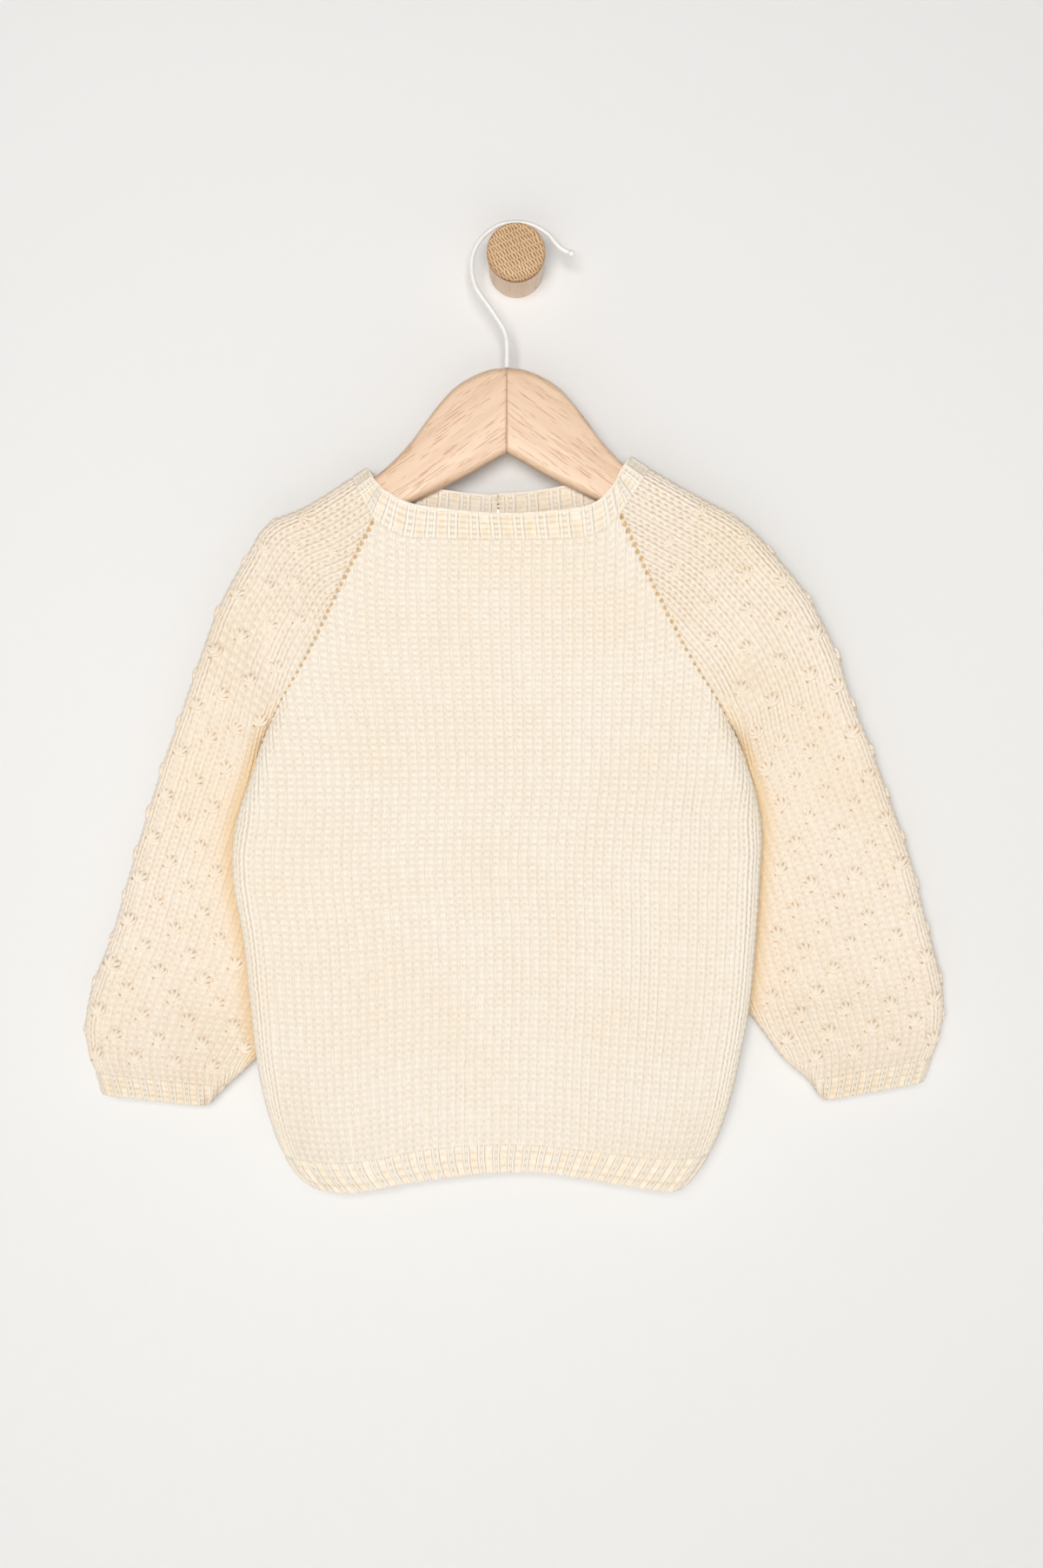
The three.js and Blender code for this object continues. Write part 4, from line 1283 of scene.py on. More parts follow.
def knit_group(knit: Knit) -> Tree:
    """Shader group of a way of knitting: from the knit attribute to height, yarn, and masks of painted shade
    in the gaps and in the eyelets.
    """
    name = f"{knit.value}_shade"
    if name in bpy.data.node_groups:
        return bpy.data.node_groups[name]
    group, given, leave = shader_group(
        name,
        {"Knit": "Vector", "Place": "Vector", "Seam": SEAM_FAR, "Lean": LEAN, "Wander": 0.08, "Fuzz": 0.16},
        {"Height": "NodeSocketFloat", "Gaps": "NodeSocketFloat", "Eyelets": "NodeSocketFloat"},
    )
    stitch, row, _ = separate(group, given["Knit"])
    drift = noise(group, given["Knit"], 0.7, 1.0) - 0.5
    slip = noise(group, given["Knit"], 0.9, 1.0, 7.0) - 0.5
    wander = Field(group, given["Wander"])
    pattern = knit.pattern(stitch + drift * wander * 2, row + slip * wander * 3, Field(group, given["Lean"]))
    fuzz = noise(group, given["Place"], 1400.0, 3.0)
    uneven = noise(group, given["Knit"], 0.8, 3.0, 3.0)
    # eyelets: mask of the eyelets at the seams; it dents the bump, and the material paints shade inside them
    small = row * (1 / YOKE_ROWS)
    run = Field(group, given["Seam"]) / (small * -0.1 + 0.25)
    rise = (row.maths("FRACT") - 0.5) / (small * -0.1 + 0.32)
    eyelets = (run.maths("POWER", 2) + rise.maths("POWER", 2)).maths("SQRT").soft(1.15, 0.75)
    fibres = group.nodes.new("ShaderNodeCombineXYZ")
    for slot, value in zip(fibres.inputs, ((stitch + drift * 0.3) * 9.0, row * 1.9)):
        feed(group, slot, value)
    strands = noise(group, fibres.outputs[0], 1.0, 2.0)
    height = (pattern.height() - eyelets * 0.4) + (fuzz - strands * 1.6 + 0.3) * Field(group, given["Fuzz"])
    # painted shade in the gaps between the stitches and between the strands of the yarn, uneven from stitch
    # to stitch
    gaps = (pattern.gaps() * uneven.soft(0.3, 0.6)).maths("MAXIMUM", strands.soft(0.55, 0.75) * 0.5)
    for label, value in (("Height", height), ("Gaps", gaps), ("Eyelets", eyelets)):
        feed(group, leave.inputs[label], value)
    return group


@dataclass(frozen=True)
class YarnFinish:
    """Soft cream cotton yarn, knitted.

    Args:
        name: name of the material.
        knit: way of knitting, or None for a plain thread.
        light: shade of the yarn.
        warm: its warmer patches.
        gap: painted shade in the small gaps between the stitches, and on the patches that the knit attribute
            marks where there is no knitting.
        spots: how strongly that painted shade shows.
        relief: height that the shading adds, in millimetres.
        top_painted_gap_shade: browner painted shade for the gaps of the first rows, where they show more over
            the hanger.
        tuck: painted shade where the sleeve goes behind the body, where the "tuck" attribute is 1.
    """

    name: str
    knit: Knit | None
    light: str = "#fcf3e6"
    warm: str = "#fbf0df"
    gap: str = "#e3c193"
    spots: float = 0.5
    relief: float = 0.7
    top_painted_gap_shade: str = ""
    tuck: str = ""

    def material(self) -> bpy.types.Material:
        """The material, made once."""
        if self.name in bpy.data.materials:
            return bpy.data.materials[self.name]
        material, tree, shader, place = new_material(self.name)
        patches = noise(tree, place, 16.0, 2.0).soft(0.3, 0.7)
        colour = blend(tree, patches, self.light, self.warm)
        layer = layer_of(tree, "knit")
        if self.knit:
            seam = layer_of(tree, "seam").outputs["Fac"]
            group = knit_group(self.knit)
            pattern = group_node(tree, group, knit=layer.outputs["Vector"], place=place, seam=seam)
            # painted shade in the gaps between the stitches
            gaps = Field(tree, pattern.outputs["Gaps"]) * self.spots
            gap: object = self.gap
            if self.top_painted_gap_shade:
                # deeper, browner painted shade in the gaps of the first rows
                top = separate(tree, layer.outputs["Vector"])[1].soft(26.0, 8.0)
                gaps = gaps * (top * 0.6 + 1)
                gap = blend(tree, top, self.gap, self.top_painted_gap_shade)
            colour = blend(tree, gaps, colour, gap)
            # painted shade inside the eyelets
            colour = blend(tree, Field(tree, pattern.outputs["Eyelets"]), colour, EYELET_PAINTED_SHADE)
            # painted shade where the sleeve goes behind the body
            if self.tuck:
                tuck = layer_of(tree, "tuck").outputs["Fac"]
                colour = blend(tree, Field(tree, tuck), colour, self.tuck)
            height = Field(tree, pattern.outputs["Height"])
        else:
            # painted shade on the patches that the knit attribute marks, such as the bobbles' shade rolls
            colour = blend(tree, Field(tree, layer.outputs["Fac"]) * self.spots, colour, self.gap)
            height = noise(tree, place, 1400.0, 3.0)
        feed(tree, shader.inputs["Base Color"], colour)
        feed(tree, shader.inputs["Normal"], bump(tree, height, self.relief))
        plain(shader, {
            "Roughness": 0.92, "Sheen Weight": 0.5, "Sheen Roughness": 0.4, "Sheen Tint": linear("#fff3e2"),
            "Specular IOR Level": 0.2,
        })
        return material


def grain_group() -> Tree:
    """Shader group of long wood grain along the X axis of a vector, in metres."""
    name = "wood_grain"
    if name in bpy.data.node_groups:
        return bpy.data.node_groups[name]
    group, given, leave = shader_group(
        name,
        {"Place": "Vector", "Rings": 260.0, "Sway": 0.1, "Pores": 1500.0},
        {"Streaks": "NodeSocketFloat", "Pores": "NodeSocketFloat"},
    )
    x, y, z = separate(group, given["Place"])
    stretched = group.nodes.new("ShaderNodeCombineXYZ")
    for slot, value in zip(stretched.inputs, (x * 0.06, y, z)):
        feed(group, slot, value)
    sway = noise(group, stretched.outputs[0], 30.0, 2.0) - 0.5
    rings = (z + y * 0.4) * Field(group, given["Rings"]) + sway * Field(group, given["Sway"]) * 30
    lines = noise(group, stretched.outputs[0], Field(group, given["Rings"]), 3.0, 2.0)
    streaks = ((rings * 2.0).maths("SINE") * 0.5 + 0.5) * 0.2 + lines * 0.8
    patches = noise(group, stretched.outputs[0], 120.0, 2.0, 9.0).soft(0.3, 0.7)
    fine = noise(group, stretched.outputs[0], Field(group, given["Pores"]), 2.0, 5.0)
    pores = (fine + patches * 0.08).soft(0.6, 0.72)
    feed(group, leave.inputs["Streaks"], streaks)
    feed(group, leave.inputs["Pores"], pores)
    return group


@dataclass(frozen=True)
class WoodFinish:
    """Pale smooth wood with its grain along a direction in the XZ plane.

    Args:
        name: name of the material.
        light: shade between the streaks.
        dark: shade of the streaks.
        slope: angle of the grain from the X axis, in degrees.
        rings: streaks a metre.
        streaks: how strongly they show.
        roughness: roughness of the surface.
        across_wall: True where the grain runs out from the wall.
    """

    name: str
    light: str
    dark: str
    slope: float = 0.0
    rings: float = 260.0
    streaks: float = 0.6
    roughness: float = 0.42
    across_wall: bool = False

    def material(self) -> bpy.types.Material:
        """The material, made once."""
        material, tree, shader, place = new_material(self.name)
        turn = tree.nodes.new("ShaderNodeMapping")
        angles = (0, 0, math.radians(90)) if self.across_wall else (0, math.radians(self.slope), 0)
        turn.inputs["Rotation"].default_value = angles
        tree.links.new(place, turn.inputs["Vector"])
        grain = group_node(tree, grain_group(), place=turn.outputs[0], rings=self.rings)
        streaks = Field(tree, grain.outputs["Streaks"]).soft(0.42, 0.72) * self.streaks
        patches = noise(tree, place, 40.0, 2.0).soft(0.3, 0.75) * 0.25
        pores = Field(tree, grain.outputs["Pores"])
        mask = streaks.maths("MAXIMUM", patches * self.streaks) * 0.45 + pores * (1.1 * self.streaks)
        feed(tree, shader.inputs["Base Color"], blend(tree, mask, self.light, self.dark))
        height = Field(tree, grain.outputs["Streaks"]) * -0.4 - pores * 0.5
        feed(tree, shader.inputs["Normal"], bump(tree, height, 0.12))
        rough = Field(tree, grain.outputs["Streaks"]) * 0.12 + self.roughness
        feed(tree, shader.inputs["Roughness"], rough)
        plain(shader, {"Coat Weight": 0.12, "Coat Roughness": 0.3})
        return material


@dataclass(frozen=True)
class EndGrainFinish:
    """Sawn and sanded end of a round peg: short slanted flecks, a darker rim, and a painted shadow of the
    groove on the cap's side.

    Args:
        name: name of the material.
        radius: radius of the face, in millimetres.
        light: shade of the wood.
        dark: shade of the flecks.
        groove: distance from the wall up to which the side is painted with the shadow of the groove between
            the cap and the body.
        painted_groove_shadow: colour of that painted shadow.
    """

    name: str
    radius: float
    light: str = "#ddba90"
    dark: str = "#98693c"
    groove: float = 42.6
    painted_groove_shadow: str = "#a4602f"

    def material(self) -> bpy.types.Material:
        """The material, made once."""
        material, tree, shader, place = new_material(self.name)
        turn = tree.nodes.new("ShaderNodeMapping")
        turn.inputs["Rotation"].default_value = (0, math.radians(22), 0)
        tree.links.new(place, turn.inputs["Vector"])
        along, _, over = separate(tree, turn.outputs[0])
        wander = noise(tree, place, 420.0, 2.0) - 0.5
        line = over / 0.0035 + wander * 0.3
        between = (line.maths("FRACT") - 0.5).maths("ABSOLUTE")
        run = (along / 0.0017 + line.maths("FLOOR") * 0.37) + (line * 0.5 + wander * 0.9)
        stroke = (run.maths("FRACT") - 0.5).maths("ABSOLUTE").soft(0.26, 0.08)
        flecks = (stroke * between.soft(0.47, 0.36)).maths("MAXIMUM", between.soft(0.44, 0.5) * 0.25)
        broad = noise(tree, turn.outputs[0], 160.0, 2.0, 4.0).soft(0.35, 0.7)
        x, out, z = separate(tree, place)
        away = (x * x + z * z).maths("SQRT") / MM
        rim = away.soft(self.radius - 2.0, self.radius - 0.6) * 0.3
        mask = (flecks * 0.95 + broad * 0.12).maths("MAXIMUM", rim)
        shade = blend(tree, mask, self.light, self.dark)
        # painted shadow of the groove between the cap and the body, on the cap's side
        groove = (out / -MM).soft(self.groove + 0.5, self.groove)
        feed(tree, shader.inputs["Base Color"], blend(tree, groove, shade, self.painted_groove_shadow))
        feed(tree, shader.inputs["Normal"], bump(tree, flecks * -1, 0.15))
        feed(tree, shader.inputs["Roughness"], flecks * 0.15 + 0.5)
        return material


@dataclass(frozen=True)
class SmoothFinish:
    """Smooth hard finish, such as paint on wire or a moulded button.

    Args:
        name: name of the material.
        shade: main shade.
        worn: shade of faint marks.
        roughness: roughness of the surface.
    """

    name: str
    shade: str
    worn: str
    roughness: float = 0.3

    def material(self) -> bpy.types.Material:
        """The material, made once."""
        material, tree, shader, place = new_material(self.name)
        marks = noise(tree, place, 260.0, 3.0).soft(0.5, 0.8)
        feed(tree, shader.inputs["Base Color"], blend(tree, marks * 0.4, self.shade, self.worn))
        feed(tree, shader.inputs["Roughness"], marks * 0.15 + self.roughness)
        feed(tree, shader.inputs["Normal"], bump(tree, noise(tree, place, 900.0, 2.0), 0.05))
        plain(shader, {"Coat Weight": 0.3, "Coat Roughness": 0.15})
        return material


# each gap colour below is painted shade: in the gaps between the stitches, or on the bobbles' shade patches
BODY_YARN = YarnFinish("body_yarn", Knit.STOCKING)
# the sleeves' yarn, with deeper painted shade in the gaps of its first rows and where it goes behind the body
SLEEVE_YARN = YarnFinish(
    "sleeve_yarn", Knit.STOCKING, light="#fcf0e0", warm="#faebd6", gap="#ddb684", top_painted_gap_shade="#ccaa84",
    tuck="#f0d3a8",
)
RIB_YARN = YarnFinish("rib_yarn", Knit.RIB, gap="#e4c898", spots=0.65)
CUFF_YARN = YarnFinish("cuff_yarn", Knit.RIB, light="#fbf2e2", warm="#f8ead6", gap="#e0c092", spots=0.7)
THREAD_YARN = YarnFinish("thread_yarn", None)
BOBBLE_YARN = YarnFinish("bobble_yarn", None, light="#fdf2e2", warm="#fbecd8", gap="#d6a970", spots=0.7)
LEFT_WOOD = WoodFinish("left_arm_wood", "#eacaac", "#c59270", slope=36)
RIGHT_WOOD = WoodFinish("right_arm_wood", "#eacaac", "#c59270", slope=-36)
PEG_WOOD = WoodFinish("peg_side_wood", "#f3d5b6", "#d4a883", rings=400, across_wall=True)
PEG_FACE = EndGrainFinish("peg_end_grain", 15.6)
WIRE_PAINT = SmoothFinish("white_wire_paint", "#f4f4f1", "#dedcd6")
BUTTON_SHELL = SmoothFinish("button_shell", "#efe4d2", "#d9c8ac", 0.2)


# ---------- sub-assemblies ----------


def place_piece(piece: Piece, slot: str, *nodes: str) -> Piece:
    """Ties a piece to the frame: its body and the nodes that it stands for."""
    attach(piece, "root")
    if nodes:
        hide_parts(*nodes)
    LOG.info("%s: %d faces", piece.name, len(piece.data.polygons))
    return piece


@dataclass
class Body:
    """Front and back with their hem ribs.

    Args:
        relief: height of the stitches.
        rib_relief: height of the ribs.
        flat: width and length of the cut of the front and of the back, in metres; not used.
        areas: their flat areas.
        rib_flat: width and length of a hem rib; not used.
        rib_area: its flat area; not used.
    """

    relief: StitchRelief = StitchRelief(Knit.STOCKING)
    rib_relief: StitchRelief = StitchRelief(Knit.RIB, depth=1.2, sink=0.65)
    flat: tuple[float, float] = (0.294, 0.328)
    areas: tuple[float, float] = (0.0813, 0.0831)
    rib_flat: tuple[float, float] = (0.226, 0.0157)
    rib_area: float = 0.0035

    def build(self) -> list[Piece]:
        made = []
        for side, name, area in zip(Side, ("front", "back"), self.areas):
            knit = BodyKnit(side)
            panel = KnitPiece(
                f"{name}_knit", knit.surface, knit.limits, YOKE_ROWS + BODY_ROWS, side is Side.BACK,
                slit_to=SLIT_ROWS if side is Side.BACK else -math.inf,
                eyelet_rows=YOKE_ROWS,
            ).build()
            self.relief.raise_on(panel, BODY_YARN.material())
            place_piece(panel, "body_knit", name)
            hem_knit = HemKnit(side)
            hem = KnitPiece(
                f"{name}_hem_rib", hem_knit.surface, hem_knit.limits, hem_knit.rows, side is Side.BACK,
                lean=0.0, fine=RIB_STEPS, coarse=(1.0, 1.0), row_from=RIB_FROM,
            ).build()
            self.rib_relief.raise_on(hem, RIB_YARN.material())
            place_piece(hem, "rib_knit", f"hem_rib_{name}")
            made += [panel, hem]
        return made


@dataclass
class Bobble:
    """A small bobble of yarn: strands that fan out, a loop that smiles under them and small patches of
    painted shade between them.

    Args:
        width: width across the sleeve, in millimetres.
        strands: X and Y of the top of each strand.
        rise: how far it stands out.
        thread: thickness of the loop.
        gaps: for each patch of painted shade, X and Y of its two ends, and half its width.
        sides: steps round a roll.
    """

    width: float = 10.2
    strands: tuple[tuple[float, float], ...] = ((-3.3, 2.6), (-0.2, 3.4), (3.1, 3.2))
    rise: float = 1.7
    thread: float = 2.6
    gaps: tuple[tuple[float, float, float, float, float], ...] = (
        (-1.0, -0.4, -1.9, 2.4, 0.5), (0.9, -0.2, 1.6, 3.2, 0.6), (-3.3, -3.4, -2.0, -4.5, 0.5),
        (3.0, -0.6, 3.9, 0.9, 0.45),
    )
    sides: int = 8

    def template(self) -> Piece:
        """The bobble at the origin, facing Z, with its top towards Y."""
        data = MeshData()
        for x_top, y_top in self.strands:
            def strand(
                t: float, x_top: float = x_top, y_top: float = y_top
            ) -> tuple[float, float, float, float]:
                """Middle line of a strand that rises from the foot: X, Y, radius and height."""
                size = math.sin(math.pi * mix(0.1, 0.92, t)) ** 0.6
                lean = t**0.8 if t > 0 else 0.0
                return x_top * lean, mix(-2.6, y_top, t), self.thread / 2 * size, self.rise * size

            self._roll(data, strand, 6, 0.0)

        def smile(t: float) -> tuple[float, float, float, float]:
            """Middle line of the loop under it, thinner towards its ends."""
            size = math.sin(math.pi * mix(0.06, 0.94, t))
            angle = math.pi * mix(0.08, 1.0, t)
            x, y = -self.width / 2 * math.cos(angle), 1.0 - 3.9 * math.sin(angle) ** 0.9 if t < 1 else 1.0
            return x * 0.85, y, self.thread / 2 * (size * 0.7 + 0.3) * size**0.2, self.rise * 0.75 * size**0.6

        self._roll(data, smile, 12, 0.0)
        # rolls that carry painted shade between the strands and under the loop
        for x0, y0, x1, y1, half in self.gaps:
            def gap(t: float, x0: float = x0, y0: float = y0, x1: float = x1, y1: float = y1,
                    half: float = half) -> tuple[float, float, float, float]:
                """Middle line of a patch of painted shade between two strands."""
                size = math.sin(math.pi * mix(0.06, 0.94, t)) ** 0.6
                return mix(x0, x1, t), mix(y0, y1, t), half * size, 1.0 * size

            self._roll(data, gap, 3, 1.0)
        return data.piece("bobble_template")

    def _roll(
        self, data: MeshData, route: Callable[[float], tuple[float, float, float, float]],
        steps: int, gap: float
    ) -> None:
        """Adds a closed roll along a route; `gap` is 1 where the roll is a patch of painted shade."""
        start = data.count
        for i in range(steps + 1):
            t = i / steps
            x, y, radius, rise = route(t)
            ahead, behind = route(min(1, t + 0.02)), route(max(0, t - 0.02))
            slope = math.atan2(ahead[1] - behind[1], ahead[0] - behind[0])
            angle = 2 * np.pi * np.arange(self.sides) / self.sides
            out = radius * np.cos(angle)
            ring = np.stack([x - out * math.sin(slope), y + out * math.cos(slope), rise * np.sin(angle)], -1)
            data.add(ring, np.full_like(ring, gap))
        for i in range(steps):
            for k in range(self.sides):
                j = (k + 1) % self.sides
                a, b = start + i * self.sides, start + (i + 1) * self.sides
                data.faces.append((a + j, a + k, b + k, b + j))
        last = start + steps * self.sides
        data.faces.append(tuple(start + k for k in range(self.sides)))
        data.faces.append(tuple(last + k for k in range(self.sides))[::-1])


class BobbleField:
    """Geometry Nodes that set bobbles on a sleeve."""

    def tree(self) -> Tree:
        """The node tree, built once."""
        name = "bobble_field"
        if name in bpy.data.node_groups:
            return bpy.data.node_groups[name]
        tree = bpy.data.node_groups.new(name, "GeometryNodeTree")
        for label, kind in (("Geometry", "Geometry"), ("Bobble", "Object"), ("Smallest", "Float"),
                            ("Largest", "Float"), ("Seed", "Int"), ("Material", "Material")):
            tree.interface.new_socket(label, in_out="INPUT", socket_type=f"NodeSocket{kind}")
        tree.interface.new_socket("Geometry", in_out="OUTPUT", socket_type="NodeSocketGeometry")
        nodes, links = tree.nodes, tree.links
        entry = nodes.new("NodeGroupInput")
        given = {socket.name: socket for socket in entry.outputs}
        turn = nodes.new("FunctionNodeAxesToRotation")
        turn.primary_axis, turn.secondary_axis = "Z", "Y"
        for label, slot in (("facing", turn.inputs[0]), ("upward", turn.inputs[1])):
            layer = nodes.new("GeometryNodeInputNamedAttribute")
            layer.data_type = "FLOAT_VECTOR"
            layer.inputs["Name"].default_value = label
            links.new(layer.outputs[0], slot)
        bobble = nodes.new("GeometryNodeObjectInfo")
        links.new(given["Bobble"], bobble.inputs["Object"])
        size = nodes.new("FunctionNodeRandomValue")
        size.data_type = "FLOAT"
        links.new(given["Smallest"], size.inputs[2])
        links.new(given["Largest"], size.inputs[3])
        links.new(given["Seed"], size.inputs["Seed"])
        place = nodes.new("GeometryNodeInstanceOnPoints")
        links.new(given["Geometry"], place.inputs["Points"])
        links.new(bobble.outputs["Geometry"], place.inputs["Instance"])
        sway = nodes.new("FunctionNodeRandomValue")
        sway.data_type = "FLOAT_VECTOR"
        links.new(given["Seed"], sway.inputs["Seed"])
        sway.inputs[0].default_value, sway.inputs[1].default_value = (0, 0, -0.6), (0, 0, 0.5)
        tilt = nodes.new("FunctionNodeRotateRotation")
        tilt.rotation_space = "LOCAL"
        links.new(turn.outputs[0], tilt.inputs[0])
        links.new(sway.outputs[0], tilt.inputs[1])
        links.new(tilt.outputs[0], place.inputs["Rotation"])
        grown = nodes.new("GeometryNodeInputNamedAttribute")
        grown.data_type = "FLOAT"
        grown.inputs["Name"].default_value = "grown"
        feed(tree, place.inputs["Scale"], Field(tree, size.outputs[1]) * Field(tree, grown.outputs[0]))
        finish_tree(tree, place.outputs[0], given["Material"])
        return tree


@dataclass
class Sleeve:
    """A sleeve with its bobbles and its cuff.

    Args:
        name: left or right.
        form: the sleeve's outside.
        flat: width and length of its cut, in metres; not used.
        area: its flat area; not used.
        relief: height of the stitches.
        rib_relief: height of the cuff's ribs.
        bobble: shape of a bobble.
        across: stitches between bobbles in a row.
        along: rows between rows of bobbles.
        first: stitch and row of the first bobble.
    """

    name: str
    form: SleeveForm
    flat: tuple[float, float]
    area: float
    relief: StitchRelief = StitchRelief(Knit.STOCKING)
    rib_relief: StitchRelief = StitchRelief(Knit.RIB, depth=1.2, sink=0.65)
    bobble: Bobble = field(default_factory=Bobble)
    across: float = 5.0
    along: float = 3.3
    first: tuple[float, float] = (2.5, 4.0)

    def build(self) -> list[Piece]:
        last = self.form.length - CUFF_LENGTH
        knit = SleeveKnit(self.form, 0.0, last)
        sleeve = KnitPiece(
            f"{self.name}_sleeve_knit", knit.surface, knit.limits, YOKE_ROWS + ARM_ROWS,
            self.form.outward < 0, tube_from=YOKE_ROWS, eyelet_rows=YOKE_ROWS,
        ).build()
        self._mark_painted_tuck_shade(sleeve)
        self.relief.raise_on(sleeve, SLEEVE_YARN.material())
        place_piece(sleeve, "sleeve_knit", f"{self.name}_sleeve")
        bobbles = self._bobbles(knit)
        cuff_knit = SleeveKnit(self.form, last + CUFF_SEAM, self.form.length, 0.0, RIB_ROWS)
        cuff = KnitPiece(
            f"{self.name}_cuff_rib", cuff_knit.surface, cuff_knit.limits, RIB_ROWS, self.form.outward < 0,
            lean=0.0, tube_from=0.0, fine=RIB_STEPS, coarse=(1.0, 1.0), row_from=RIB_FROM,
        ).build()
        self.rib_relief.raise_on(cuff, CUFF_YARN.material())
        place_piece(cuff, "rib_knit", f"{self.name}_cuff")
        return [sleeve, bobbles, cuff]

    def _mark_painted_tuck_shade(self, sleeve: Piece) -> None:
        """Marks where the sleeve goes behind the body, for the warmer painted shade there."""
        places = np.array([vertex.co for vertex in sleeve.data.vertices]) / MM
        out = self.form.beyond(places[:, 0], places[:, 2])
        near = smooth(1 - out / 12) * smooth((ARMPIT_Z + 20 - places[:, 2]) / 40)
        layer = sleeve.data.attributes.new("tuck", "FLOAT", "POINT")
        layer.data.foreach_set("value", near.astype(np.float32))

    def _bobbles(self, knit: SleeveKnit) -> Piece:
        """Sets the bobbles on the sleeve by Geometry Nodes."""
        places = []
        first_stitch, first_row = self.first
        for i in range(int((YOKE_ROWS + ARM_ROWS - first_row) / self.along)):
            row = first_row + i * self.along
            low, high = (float(edge[0]) for edge in knit.limits(np.array([row])))
            shift = first_stitch if i % 2 else first_stitch - self.across / 2
            for k in range(-8, 9):
                stitch = shift + k * self.across
                if low + 2.0 < stitch < high - 2.0 and BOBBLES_FROM < row < YOKE_ROWS + ARM_ROWS - 2:
                    places.append((stitch, row))
        stitch, row = (np.array(values) for values in zip(*places))
        at = knit.surface(stitch, row)
        shown = (self.form.beyond(at[:, 0], at[:, 2]) > 6) | (at[:, 2] > ARMPIT_Z)
        stitch, row, at = stitch[shown], row[shown], at[shown]
        across = knit.surface(stitch + 0.2, row) - knit.surface(stitch - 0.2, row)
        along = knit.surface(stitch, row + 0.2) - knit.surface(stitch, row - 0.2)
        facing = np.cross(along, across) * (-1 if self.form.outward < 0 else 1)
        facing /= np.linalg.norm(facing, axis=-1, keepdims=True)
        mesh = bpy.data.meshes.new(f"{self.name}_bobbles")
        mesh.from_pydata(
            ((at - facing * mix(0.55, 0.2, smooth((row - 8) / 16))[:, None]) * MM).tolist(), [], []
        )
        for label, vectors in (("facing", facing), ("upward", -along)):
            layer = mesh.attributes.new(label, "FLOAT_VECTOR", "POINT")
            layer.data.foreach_set("vector", vectors.astype(np.float32).ravel())
        layer = mesh.attributes.new("grown", "FLOAT", "POINT")
        layer.data.foreach_set("value", mix(0.8, 1.0, smooth((row - 8) / 16)).astype(np.float32))
        piece = bpy.data.objects.new(f"{self.name}_bobbles", mesh)
        bpy.context.scene.collection.objects.link(piece)
        template = self.bobble.template()
        outwards(template)
        modifier = piece.modifiers.new("bobbles", "NODES")
        modifier.node_group = BobbleField().tree()
        set_inputs(modifier, {
            "Bobble": template, "Smallest": 0.9, "Largest": 1.08, "Seed": 5,
            "Material": BOBBLE_YARN.material(),
        })
        bake(piece)
        bpy.data.objects.remove(template)
        return place_piece(piece, "sleeve_knit")


@dataclass
class Neckband:
    """Ribbed band round the neck.

    Args:
        relief: height of the ribs.
        flat: width and length of the band's cut, in metres; not used.
        area: its flat area; not used.
    """

    relief: StitchRelief = StitchRelief(Knit.RIB, depth=1.15, sink=0.65)
    flat: tuple[float, float] = (0.35, 0.0155)
    area: float = 0.0046

    def build(self) -> list[Piece]:
        """Builds the band."""
        knit = NeckKnit()
        band = KnitPiece(
            "neckband_rib", knit.surface, knit.limits, knit.rows, False, lean=0.0, fine=RIB_STEPS,
            coarse=(0.25, 0.25), inner_relief=1.0,
        ).build()
        self.relief.raise_on(band, RIB_YARN.material())
        place_piece(band, "rib_knit", "neckband")
        return [band]


def tube(name: str, route: Array, radii: Array, sides: int = 24) -> Piece:
    """Closed tube along a route that lies in a plane square to the Y axis.

    Args:
        name: the piece's name.
        route: points of its middle line, in millimetres.
        radii: its radius at each point.
        sides: steps round it.

    Returns:
        The piece.
    """
    axis = np.array([0.0, 1.0, 0.0])
    ahead = np.gradient(route, axis=0)
    ahead /= np.linalg.norm(ahead, axis=1, keepdims=True)
    aside = np.cross(axis, ahead)
    angles = np.arange(sides) * 2 * np.pi / sides
    data = MeshData()
    for point, radius, out in zip(route, radii, aside):
        ring = point + radius * (np.cos(angles)[:, None] * out + np.sin(angles)[:, None] * axis)
        data.add(ring, np.zeros_like(ring))
    for i in range(len(route) - 1):
        for k in range(sides):
            j = (k + 1) % sides
            data.faces.append((i * sides + k, i * sides + j, (i + 1) * sides + j, (i + 1) * sides + k))
    last = (len(route) - 1) * sides
    data.faces.append(tuple(range(sides))[::-1])
    data.faces.append(tuple(last + k for k in range(sides)))
    return data.piece(name, knit_layer=False)


def turned(name: str, profile: Sequence[tuple[float, float]], sides: int = 96) -> Piece:
    """Piece turned round the Y axis, from the wall forwards.

    Args:
        name: the piece's name.
        profile: radius and distance from the wall, from one pole to the other.
        sides: steps round it.

    Returns:
        The piece.
    """
    angles = -np.arange(sides) * 2 * np.pi / sides
    data = MeshData()
    rings = [data.ring(0, -height, 0, radius, angles) for radius, height in profile[1:-1]]
    first, last = (
        data.add(np.array([[0, -end[1], 0]]), np.zeros((1, 3))) for end in (profile[0], profile[-1])
    )
    for low, high in zip(rings, rings[1:]):
        data.band(low, high)
    for k in range(sides):
        data.faces.append((first, rings[0][k - 1], rings[0][k]))
        data.faces.append((rings[-1][k], rings[-1][k - 1], last))
    piece = data.piece(name, knit_layer=False)
    outwards(piece)
    return piece


